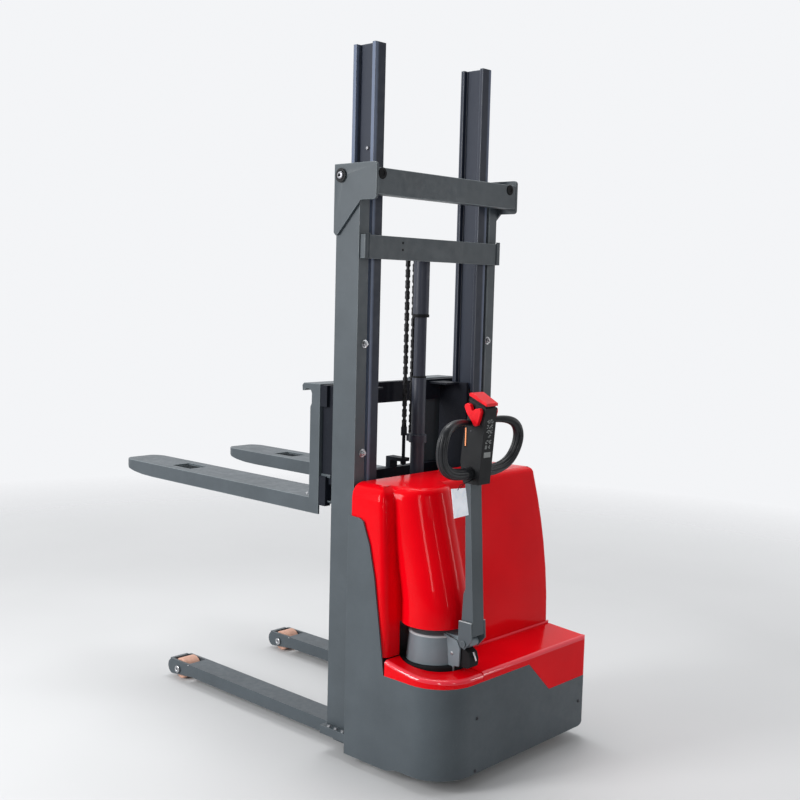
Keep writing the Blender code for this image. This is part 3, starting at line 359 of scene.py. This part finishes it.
# each paint's rounded edges take its lighter copy as a painted highlight
PAINTED_HIGHLIGHT_OF = {GREY: GREY_HIGHLIGHT, DRUM_GREY: DRUM_HIGHLIGHT, NAVY: NAVY_HIGHLIGHT, SHADED_TRACK: NAVY_HIGHLIGHT, RED: RED_HIGHLIGHT}
USUAL_EDGE = 0.0016
for node in sorted(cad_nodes):
    if node.endswith(("_chain_run", "_grip")):
        continue
    look = OWN_LOOK.get(node, LOOKS[SLOT_OF[node]])
    if node in ("deck_cover", "rim_cover"):
        # the covers' rolled outer edges take the lighter red as a painted highlight
        refine(node, EDGE[node], 5, look, RED_ROLL_GLOSS_AND_HIGHLIGHT, on_outline)
    else:
        refine(node, EDGE.get(node, USUAL_EDGE), 3 if node in EDGE else 2, look, PAINTED_HIGHLIGHT_OF.get(look), None)


# --- small shapes drawn in the truck's frame ---------------------------------------------------------------
def lathe(shape, profile, at, out=TO_TOP, sides=20, ring=False):
    """Turn (radius, along) points about an axis through "at"; a ring's profile closes on itself."""
    place = Matrix.Translation(at) @ Vector(out).to_track_quat("Z", "Y").to_matrix().to_4x4()
    rows = []
    for radius, along in profile:
        count = sides if radius > 1e-7 else 1
        turn = [2 * math.pi * i / sides for i in range(count)]
        rows.append([shape.verts.new(place @ Vector((radius * math.cos(a), radius * math.sin(a), along)))
                     for a in turn])
    for low, high in zip(rows, rows[1:] + (rows[:1] if ring else [])):
        for i in range(sides if max(len(low), len(high)) > 1 else 0):
            j = (i + 1) % sides
            if len(low) == 1:
                shape.faces.new((low[0], high[i], high[j]))
            elif len(high) == 1:
                shape.faces.new((low[i], low[j], high[0]))
            else:
                shape.faces.new((low[i], low[j], high[j], high[i]))
    return shape


def close(shape, rows):
    """Faces for a prism between two outlines with the same number of points."""
    shape.faces.new(rows[0])
    shape.faces.new(list(reversed(rows[1])))
    for i in range(len(rows[0])):
        j = (i + 1) % len(rows[0])
        shape.faces.new((rows[0][i], rows[1][i], rows[1][j], rows[0][j]))


def plate(outline, low, high, plane):
    """A flat outline in YZ or XZ given thickness along the third axis."""
    shape = bmesh.new()
    place = {"YZ": lambda u, v, w: (w, u, v), "XZ": lambda u, v, w: (u, w, v)}[plane]
    close(shape, [[shape.verts.new(place(u, v, w)) for u, v in outline] for w in (low, high)])
    return shape


def soft_box(shape, x, y, z, edge, segments=2):
    """Add a block with rounded edges."""
    made = bmesh.new()
    bmesh.ops.create_cube(made, size=1.0)
    size = [high - low for low, high in (x, y, z)]
    bmesh.ops.scale(made, vec=size, verts=made.verts)
    bmesh.ops.translate(made, vec=[(low + high) / 2 for low, high in (x, y, z)], verts=made.verts)
    bmesh.ops.bevel(made, geom=made.edges[:], offset=edge, segments=segments, affect="EDGES", profile=0.5)
    mesh = bpy.data.meshes.new("part")
    made.to_mesh(mesh)
    made.free()
    shape.from_mesh(mesh)
    bpy.data.meshes.remove(mesh)
    return shape


def join_rows(shape, rows):
    """Faces of a tube through equal rings of vertices, closed at both ends."""
    for low, high in zip(rows, rows[1:]):
        for k in range(len(low)):
            j = (k + 1) % len(low)
            shape.faces.new((low[k], low[j], high[j], high[k]))
    shape.faces.new(list(reversed(rows[0])))
    shape.faces.new(rows[-1])
    return shape


def sweep(points, radius, sides):
    """A round wire along points."""
    shape = bmesh.new()
    points = [Vector(p) for p in points]
    rows = []
    side = None
    for i, point in enumerate(points):
        along = (points[min(i + 1, len(points) - 1)] - points[max(i - 1, 0)]).normalized()
        start = side if side else (Vector((0, 0, 1)) if abs(along.z) < 0.9 else Vector((1, 0, 0)))
        side = (start - along * start.dot(along)).normalized()
        other = along.cross(side)
        turn = [2 * math.pi * k / sides for k in range(sides)]
        rows.append([shape.verts.new(point + (side * math.cos(a) + other * math.sin(a)) * radius)
                     for a in turn])
    return join_rows(shape, rows)


def hex_bolt(shape, at, out, size):
    """A washer with a chamfered hexagon head; size is the head's radius."""
    lathe(shape, [(0, 0), (size * 1.30, 0), (size * 1.30, size * 0.14), (size * 1.22, size * 0.20),
                  (0, size * 0.20)], at, out, 24)
    lathe(shape, [(0, size * 0.12), (size, size * 0.12), (size, size * 0.68), (size * 0.84, size * 0.82),
                  (0, size * 0.82)], at, out, 6)
    return shape


def socket_bolt(shape, at, out, size):
    """A button head with a socket."""
    lathe(shape, [(0, 0), (size, 0), (size, size * 0.22), (size * 0.86, size * 0.46),
                  (size * 0.60, size * 0.56), (size * 0.44, size * 0.56), (size * 0.40, size * 0.18),
                  (0, size * 0.18)], at, out, 24)
    return shape


# --- leaf chain --------------------------------------------------------------------------------------------
PITCH_LEN, LEAF, LEAF_GAP = 0.0196, 0.0026, 0.0009
EYE_R, WAIST = 0.0052, 0.0036
CHAIN_X = [(i - 2) * (LEAF + LEAF_GAP) for i in range(5)]


def link_plate(shape, x, centre, along, across):
    """One figure-of-eight leaf between two pins."""
    outline = []
    for end, first in ((1, -75), (-1, 105)):
        for k in range(7):
            a = math.radians(first + 25 * k)
            outline.append((PITCH_LEN / 2 * end + EYE_R * math.cos(a), EYE_R * math.sin(a)))
        outline.append((0.0, WAIST * end))
    ring = [centre + along * u + across * v for u, v in outline]
    close(shape, [[shape.verts.new((x + side * LEAF / 2, p.y, p.z)) for p in ring] for side in (-1, 1)])


def leaf_chain(path):
    """Leaves and pins along equal steps of a path in the YZ plane."""
    shape = bmesh.new()
    for i, (start, end) in enumerate(zip(path, path[1:])):
        along = (end - start).normalized()
        across = Vector((0, -along.z, along.y))
        for k, x in enumerate(CHAIN_X):
            if k % 2 == i % 2:
                link_plate(shape, x, (start + end) / 2, along, across)
    for point in path:
        lathe(shape, [(0, -0.0092), (0.0022, -0.0092), (0.0028, -0.0086), (0.0028, 0.0086), (0.0022, 0.0092),
                      (0, 0.0092)], point, (1, 0, 0), 10)
    return shape


PULLEY = Vector((0.0, 0.0965, 1.768))
PITCH_R = 0.0170                       # from the pulley's axis to the chain's pins
FIXED_END_Z, CARRIAGE_END_Z = 1.106, 1.122


def straight(y, low, high):
    """Pin places of an upright run."""
    count = max(1, round((high - low) / PITCH_LEN))
    return [Vector((0.0, y, low + (high - low) * i / count)) for i in range(count + 1)]


ends = {"fixed_chain_run": (PULLEY.y - PITCH_R, FIXED_END_Z, "truck_body", "inner_mast"),
        "carriage_chain_run": (PULLEY.y + PITCH_R, CARRIAGE_END_Z, "fork_carriage", "inner_mast")}
for node, (y, low, body, upper) in ends.items():
    run = ship(node + "_links", leaf_chain(straight(y, low, PULLEY.z)), CHAIN, None, (node,), 40)
    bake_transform(run)
over = [PULLEY + Vector((0, -PITCH_R * math.cos(a), PITCH_R * math.sin(a)))
        for a in [math.pi * i / 3 for i in range(4)]]
ship("chain_over_pulley", leaf_chain(over), CHAIN, "inner_mast")


# --- bolts, plugs and fittings -----------------------------------------------------------------------------
def trim(name, shape, look, body, smooth=32.0):
    """A piece that stands for no CAD node."""
    ship(name, shape, look, body, (), smooth)


def ring(profile, at, out=TO_TOP, sides=32):
    return lathe(bmesh.new(), profile, at, out, sides, True)


for name, side in SIDES:
    out = (side, 0, 0)
    stub = (side * STUB_X, STUB_Y, STUB_Z)
    trim(f"{name}_axle_ring",
         ring([(0.0148, 0), (0.0240, 0), (0.0240, 0.0012), (0.0224, 0.0024), (0.0160, 0.0024),
               (0.0148, 0.0014)], stub, out), BLACK, "truck_body")
    trim(f"{name}_axle_bolt", socket_bolt(bmesh.new(), stub, out, 0.0138), DARK_ZINC, "truck_body")
    # painted shade: a black hexagon in the bolt's socket stands for the dark of its hole
    trim(f"{name}_axle_socket",
         lathe(bmesh.new(), [(0, 0), (0.0050, 0), (0.0050, 0.0022), (0, 0.0018)],
               (side * (STUB_X + 0.0022), STUB_Y, STUB_Z), out, 6), SOFT_BLACK, "truck_body")
    trim(f"{name}_crossbar_plug",
         lathe(bmesh.new(), [(0, 0), (0.0190, 0), (0.0190, 0.0012), (0.0165, 0.0030), (0.0090, 0.0032),
                             (0.0080, 0.0012), (0, 0.0012)],
               (-0.3480 if side < 0 else 0.3290, -0.0845, 1.9965), TO_REAR, 28), SOFT_BLACK, "truck_body")

    strip = bmesh.new()
    soft_box(strip, sorted((side * 0.3365, side * 0.3580)), (-0.0240, -0.0218), (1.7215, 1.8060), 0.0006)
    soft_box(strip, sorted((side * 0.3375, side * 0.3430)), (-0.0256, -0.0225), (1.7220, 1.8030), 0.0008)
    trim(f"{name}_strap_end", strip, GREY, "truck_body")

    bolts = bmesh.new()
    for height in (1.065, 1.4365):
        at = (side * MAST_BOLT_X, 0.0, height)
        hex_bolt(bolts, at, TO_REAR, 0.0112)
        lathe(bolts, [(0, 0), (0.0050, 0), (0.0050, 0.0125), (0.0040, 0.0140), (0, 0.0140)], at, TO_REAR, 14)
    trim(f"{name}_mast_bolts", bolts, ZINC, "truck_body")
    stud = lathe(bmesh.new(), [(0, 0), (0.0065, 0), (0.0065, 0.003), (0.0046, 0.0045), (0, 0.0047)],
                 (side * 0.2866, 0.047, 2.092), out, 18)
    trim(f"{name}_channel_stud", stud, DARK_ZINC, "inner_mast")

    # washers on the load wheel's axle, and small screws by the cheeks that hold it
    load = bmesh.new()
    for edge in (-1, 1):
        lathe(load, [(0.0052, 0), (0.0150, 0), (0.0150, 0.0018), (0.0128, 0.0034), (0.0068, 0.0034),
                     (0.0052, 0.0022)],
              (side * LOAD_X + edge * 0.0545, LOAD_Y, LOAD_Z), (edge, 0, 0), 28, True)
        socket_bolt(load, (side * LOAD_X + edge * 0.0500, LOAD_Y - 0.070, 0.0735), TO_TOP, 0.0040)
    trim(f"{name}_axle_caps", load, ZINC, "truck_body")

    screw = socket_bolt(bmesh.new(), (side * 0.359, 0.2412, 0.8966), out, 0.0050)
    trim(f"{name}_heel_screw", screw, ZINC, "fork_carriage")
    pads = bmesh.new()
    for y in (0.010, 0.044, 0.078):
        hex_bolt(pads, (side * 0.3845, y, 0.0970), TO_TOP, 0.0068)
    trim(f"{name}_foot_bolts", pads, ZINC, "truck_body")
    guide = bmesh.new()
    soft_box(guide, sorted((side * 0.3452, side * 0.3500)), (0.1340, 0.1830), (0.9620, 0.9740), 0.0012)
    soft_box(guide, sorted((side * 0.3452, side * 0.3480)), (0.1300, 0.1830), (0.8760, 0.8820), 0.0010)
    trim(f"{name}_guide_block", guide, GREY, "fork_carriage")

dots = bmesh.new()
for height in (1.7798, 1.7560):
    lathe(dots, [(0, 0), (0.0042, 0), (0.0042, 0.0006), (0.0026, 0.0012), (0, 0.0005)],
          (-0.175, -0.0220, height), TO_REAR, 16)
trim("strap_rivets", dots, SOFT_BLACK, "truck_body")
trim("sleeve_wiper",
     ring([(0.0264, 1.5240), (0.0300, 1.5240), (0.0306, 1.5260), (0.0306, 1.5330), (0.0300, 1.5348),
           (0.0264, 1.5348)], CYLINDER_AT), SOFT_BLACK, "inner_mast")
trim("cylinder_gland",
     ring([(0.0226, 1.3062), (0.0253, 1.3062), (0.0253, 1.3110), (0.0247, 1.3122), (0.0226, 1.3122)],
          CYLINDER_AT), SOFT_BLACK, "truck_body")
screws = bmesh.new()
for x, z in ((-0.228, 0.235), (-0.230, 0.058), (0.358, 0.144)):
    socket_bolt(screws, (x, -0.4540, z), TO_REAR, 0.0058)
trim("chassis_screws", screws, DARK_STEEL, "truck_body")

# rolled joint where the tall covers' rear faces meet the deck cover, coloured a lighter red as a painted
# highlight
fillet = sweep([(-0.106, -0.2835, 0.3962), (0.10, -0.2835, 0.3962), (0.30, -0.2835, 0.3962),
                (0.388, -0.2830, 0.3962), (0.3960, -0.2780, 0.3962)], 0.0048, 14)
trim("deck_fillet", fillet, RED_HIGHLIGHT, "truck_body", ALL_SMOOTH)

# steering drum: top lip coloured light as a painted highlight, a black ring in the well as painted shade,
# side screws, a black plate under the hinge as painted shade in the drum's recess, spring's end
STEER_AT = (STEER_X, STEER_Y, 0.0)
# painted highlight: the drum's top lip is coloured much lighter than the drum
trim("drum_lip",
     ring([(0.0790, 0.4880), (0.0852, 0.4858), (0.0872, 0.4872), (0.0868, 0.4895), (0.0835, 0.4925),
           (0.0790, 0.4925)], STEER_AT, TO_TOP, 64), DRUM_HIGHLIGHT, "steer_unit")
# painted shade: a black ring fills the shaded gap between the drum and the rim cover's well
trim("drum_skirt",
     ring([(0.0960, 0.3745), (0.1128, 0.3745), (0.1128, 0.3935), (0.1085, 0.3975), (0.0960, 0.3975)],
          STEER_AT, TO_TOP, 64), SOFT_BLACK, "steer_unit")
for name, side in SIDES:
    trim(f"{name}_drum_screw",
         socket_bolt(bmesh.new(), (STEER_X + side * 0.0300, -0.3662, 0.4406), (side, 0, 0), 0.0055),
         ZINC, "steer_unit")
# painted shade: a black plate stands for the shaded inside of the drum's open recess under the hinge
recess_shade_plate = plate([(-0.3700, 0.3800), (-0.3730, 0.3800), (-0.3730, 0.4000), (-0.4260, 0.4000), (-0.4345, 0.4060),
              (-0.4365, 0.4300), (-0.4290, 0.4520), (-0.4120, 0.4620), (-0.3700, 0.4620)],
             STEER_X - 0.0215, STEER_X + 0.0215, "YZ")
trim("hinge_boot", recess_shade_plate, SOFT_BLACK, "steer_unit")
spring = sweep([(STEER_X - 0.0040, -0.4340, 0.4540), (STEER_X - 0.0010, -0.4385, 0.4400),
                (STEER_X + 0.0050, -0.4385, 0.4250)], 0.0034, 12)
trim("spring_end", spring, CHROME, "steer_unit")

# --- grips: a plain shoulder that runs into ridged rubber --------------------------------------------------
# control points: distance out from the tiller's middle plane, height, Y, radius
GRIP_ROUTE = [
    (0.026, 1.203, -0.409, 0.0095), (0.070, 1.2095, -0.417, 0.0105),
    (0.125, 1.212, -0.433, 0.0120), (0.176, 1.195, -0.440, 0.0160),
    (0.195, 1.154, -0.4405, 0.0178), (0.190, 1.110, -0.433, 0.0178),
    (0.170, 1.073, -0.426, 0.0178), (0.135, 1.052, -0.421, 0.0182),
    (0.095, 1.044, -0.418, 0.0188), (0.060, 1.042, -0.416, 0.0190),
    (0.026, 1.042, -0.4155, 0.0190),
]


def b_spline(points, steps):
    """Clamped cubic B-spline through the same control points as the CAD grip."""
    count = len(points)
    knots = [0.0] * 3 + list(range(count - 2)) + [count - 3.0] * 3
    made = []
    for k in range(steps + 1):
        t = min((count - 3.0) * k / steps, count - 3.0 - 1e-9)
        span = int(t) + 3
        work = [np.array(points[span - 3 + j], float) for j in range(4)]
        for level in range(1, 4):
            for j in range(3, level - 1, -1):
                i = span - 3 + j
                share = (t - knots[i]) / (knots[i + 4 - level] - knots[i])
                work[j] = (1 - share) * work[j - 1] + share * work[j]
        made.append(work[3])
    return made


RIDGES, RIDGE_DEPTH = 9, 0.0024
RIDGE_START, RIDGE_RISE, RIDGE_END, RIDGE_FALL = 0.30, 0.05, 0.97, 0.03      # shares of the grip's length
ROOT_THINNING = 0.0008                 # taken off the shoulder where it leaves the head


def ridged_grip(side, steps=110, sides=72):
    """One grip: its upper shoulder is plain and thinned a little, the rest is grooved lengthwise."""
    shape = bmesh.new()
    line = b_spline(GRIP_ROUTE, steps)
    points = [Vector((STEER_X + side * out, y, z)) for out, z, y, _ in line]
    rows = []
    for i, point in enumerate(points):
        along = (points[min(i + 1, steps)] - points[max(i - 1, 0)]).normalized()
        flat = Vector((0, -1, 0))
        flat = (flat - along * flat.dot(along)).normalized()
        other = along.cross(flat)
        share = i / steps
        ridges = (min(1.0, max(0.0, (share - RIDGE_START) / RIDGE_RISE))
                  * min(1.0, max(0.0, (RIDGE_END - share) / RIDGE_FALL)))
        thin = ROOT_THINNING * max(0.0, 1.0 - share / RIDGE_START)
        row = []
        for k in range(sides):
            turn = 2 * math.pi * k / sides
            groove = RIDGE_DEPTH * ridges * max(0.0, math.cos(RIDGES * turn)) ** 3
            radius = line[i][3] - groove - thin
            row.append(shape.verts.new(point + (flat * math.cos(turn) + other * math.sin(turn)) * radius))
        rows.append(row)
    return join_rows(shape, rows)


for name, side in SIDES:
    ship(f"{name}_grip_rubber", ridged_grip(side), GRIP, "tiller", (f"{name}_grip",), 50)

# --- tiller head, hinge lugs and tag -----------------------------------------------------------------------
for name, side in SIDES:
    rings = bmesh.new()
    for out, radius, thick in ((0.0345, 0.0212, 0.0090), (0.0440, 0.0204, 0.0030), (0.0500, 0.0203, 0.0030)):
        lathe(rings, [(0.0140, -thick / 2), (radius - 0.001, -thick / 2), (radius, -thick / 2 + 0.001),
                      (radius, thick / 2 - 0.001), (radius - 0.001, thick / 2), (0.0140, thick / 2)],
              (STEER_X + side * out, HUB_Y, HUB_Z), (1, 0, 0), 28, True)
    trim(f"{name}_hub_collar", rings, BLACK, "tiller")
    # painted highlight: a light strip along the top edge of each hinge lug
    lug_highlight_strip = soft_box(bmesh.new(), sorted((STEER_X + side * 0.0302, STEER_X + side * 0.0372)),
                    (-0.4475, -0.3965), (0.5560, 0.5580), 0.0006)
    trim(f"{name}_lug_edge", lug_highlight_strip, DRUM_HIGHLIGHT, "tiller")
    surround = soft_box(bmesh.new(), sorted((STEER_X + side * 0.0288, STEER_X + side * 0.0302)),
                        (-0.4005, -0.3915), (1.1240, 1.1920), 0.0006)
    trim(f"{name}_key_frame", surround, SOFT_BLACK, "tiller")


def rear_y(z):
    """Rear face of the head at a height."""
    return -0.4580 - (z - 1.060) * 0.0165 / 0.1945


# generic marks on the head's rear face: six patterns of raised blocks that spell nothing, and a plain patch
MARK_TOP, ROW_STEP, LINE_STEP = 1.2180, 0.0165, 0.0042
MARK_LEFT, CELL_STEP, CELL_W, CELL_H = STEER_X - 0.0150, 0.0050, 0.0040, 0.0032
icons = bmesh.new()
pattern = (("010110", "110101", "011011"), ("110011", "010110", "101101"), ("011101", "110110", "001011"),
           ("000110", "001100", "000000"), ("011011", "100110", "110011"), ("110010", "110110", "110010"))
for row, lines in enumerate(pattern):
    for line, cells in enumerate(lines):
        for column, cell in enumerate(cells):
            if cell == "1":
                z = MARK_TOP - row * ROW_STEP - line * LINE_STEP
                x = MARK_LEFT + column * CELL_STEP
                y = rear_y(z)
                soft_box(icons, (x, x + CELL_W), (y - 0.0005, y + 0.0008), (z - CELL_H, z), 0.0002, 1)
soft_box(icons, (STEER_X - 0.0170, STEER_X + 0.0160), (rear_y(1.106) - 0.0008, rear_y(1.106) + 0.0012),
         (1.0960, 1.1130), 0.0004, 1)
trim("head_symbols", icons, PRINT, "tiller")
marks = bmesh.new()
socket_bolt(marks, (STEER_X - 0.0290, -0.4164, 1.1785), (-1, 0, 0), 0.0028)
socket_bolt(marks, (STEER_X - 0.0160, -0.4563, 1.0700), TO_REAR, 0.0030)
trim("head_screws", marks, DARK_STEEL, "tiller")

# hang tag: a blank card on a short stiff wire
wire = [(-0.2560, -0.4330, 1.0260), (-0.2900, -0.4440, 1.0230), (-0.3380, -0.4460, 1.0180),
        (-0.3500, -0.4450, 1.0020), (-0.3440, -0.4436, 0.9985), (-0.3330, -0.4440, 1.0090),
        (-0.3100, -0.4440, 1.0210), (-0.2620, -0.4400, 1.0300)]
trim("tag_wire", sweep(wire, 0.0011, 8), SOFT_BLACK, "tiller", ALL_SMOOTH)
card = plate([(-0.3815, 1.0092), (-0.3111, 1.0045), (-0.2921, 0.9157), (-0.3628, 0.9139)],
             -0.4448, -0.4440, "XZ")
trim("hang_tag", card, CARD, "tiller")

# --- stage, camera and light -------------------------------------------------------------------------------
FLOOR_SIZE, FADE_FROM, FADE_OUT = 60.0, 2.2, 5.5       # the floor fades into the backdrop with distance
bpy.ops.mesh.primitive_plane_add(size=FLOOR_SIZE, location=(0, 0, 0))
floor = bpy.context.object
floor.name = "floor"
ground = Look("pale_floor").set(Roughness=0.6, Specular_IOR_Level=0.2)
ground.link(ground.ramp(ground.noise(0.8, 2.0, 0.5),
                        [(0.3, (0.52, 0.525, 0.53)), (0.7, (0.55, 0.555, 0.56))]),
            "Base Color")
middle = ground.tree.nodes.new("ShaderNodeVectorMath")
middle.operation = "LENGTH"
ground.tree.links.new(ground.coords, middle.inputs[0])
ground.link(ground.span(middle.outputs["Value"], 1.0, 0.0, FADE_FROM, FADE_OUT), "Alpha")
floor.data.materials.append(ground.mat)

CAMERA_AT = Vector((-3.0103, -2.6696, 1.6172))
HEADING, DOWN, ROLL = math.radians(47.003), math.radians(5.5574), math.radians(1.4293)
SENSOR_MM, FOCAL_MM = 36.0, 50.5503
ahead = Vector((math.sin(HEADING) * math.cos(DOWN), math.cos(HEADING) * math.cos(DOWN), -math.sin(DOWN)))
right = ahead.cross(Vector((0, 0, 1))).normalized()
up = right.cross(ahead)
right, up = (right * math.cos(ROLL) + up * math.sin(ROLL), up * math.cos(ROLL) - right * math.sin(ROLL))
lens = bpy.data.cameras.new("camera")
lens.sensor_width = SENSOR_MM
lens.lens = FOCAL_MM
camera = bpy.data.objects.new("camera", lens)
turned = Matrix((right, up, -ahead)).transposed().to_4x4()
camera.matrix_world = Matrix.Translation(CAMERA_AT + OFFSET) @ turned
bpy.context.scene.collection.objects.link(camera)
bpy.context.scene.camera = camera


def softbox(name, at, target, size, power):
    """A rectangular area light facing a point."""
    data = bpy.data.lights.new(name, "AREA")
    data.shape = "RECTANGLE"
    data.size, data.size_y = size
    data.energy = power
    lamp = bpy.data.objects.new(name, data)
    lamp.location = at
    lamp.rotation_euler = (Vector(target) - Vector(at)).to_track_quat("-Z", "Y").to_euler()
    bpy.context.scene.collection.objects.link(lamp)


softbox("key", (-4.9, 1.5, 2.7), (0, -0.1, 1.0), (1.7, 2.8), 250.0)
softbox("front", (-3.7, -3.95, 2.2), (0, -0.2, 0.9), (0.55, 3.0), 48.0)
softbox("strip", (-0.75, -5.0, 1.7), (0, -0.2, 0.9), (0.20, 2.8), 12.0)
softbox("rim", (3.6, -4.2, 2.0), (0, -0.2, 1.0), (0.5, 2.8), 30.0)
softbox("overhead", (0.6, 0.6, 5.4), (0, 0.1, 0.8), (3.0, 3.0), 190.0)

DARK_END, PALE_END = 0.10, 0.93        # light from behind the camera and from ahead of it
SKY_COLOR = (0.97, 0.98, 1.0, 1.0)
PALE_DIRECTION = (0.45, 0.90, 0.0)
world = bpy.data.worlds.new("studio")
world.use_nodes = True
sky = world.node_tree
direction = sky.nodes.new("ShaderNodeTexCoord").outputs["Generated"]
toward = sky.nodes.new("ShaderNodeVectorMath")
toward.operation = "DOT_PRODUCT"
toward.inputs[1].default_value = PALE_DIRECTION
sky.links.new(direction, toward.inputs[0])
level = sky.nodes.new("ShaderNodeMapRange")
level.interpolation_type = "SMOOTHSTEP"
for key, value in (("From Min", -0.85), ("From Max", 0.55), ("To Min", DARK_END), ("To Max", PALE_END)):
    level.inputs[key].default_value = value
sky.links.new(toward.outputs["Value"], level.inputs["Value"])
sky.nodes["Background"].inputs["Color"].default_value = SKY_COLOR
# The backdrop itself is evenly pale from every side; only the light that it sheds falls off to the rear.
seen = sky.nodes.new("ShaderNodeMix")
seen.data_type = "FLOAT"
sky.links.new(sky.nodes.new("ShaderNodeLightPath").outputs["Is Camera Ray"], seen.inputs["Factor"])
sky.links.new(level.outputs["Result"], seen.inputs["A"])
seen.inputs["B"].default_value = PALE_END
sky.links.new(seen.outputs["Result"], sky.nodes["Background"].inputs["Strength"])
bpy.context.scene.world = world
bpy.context.scene.view_settings.view_transform = "Standard"
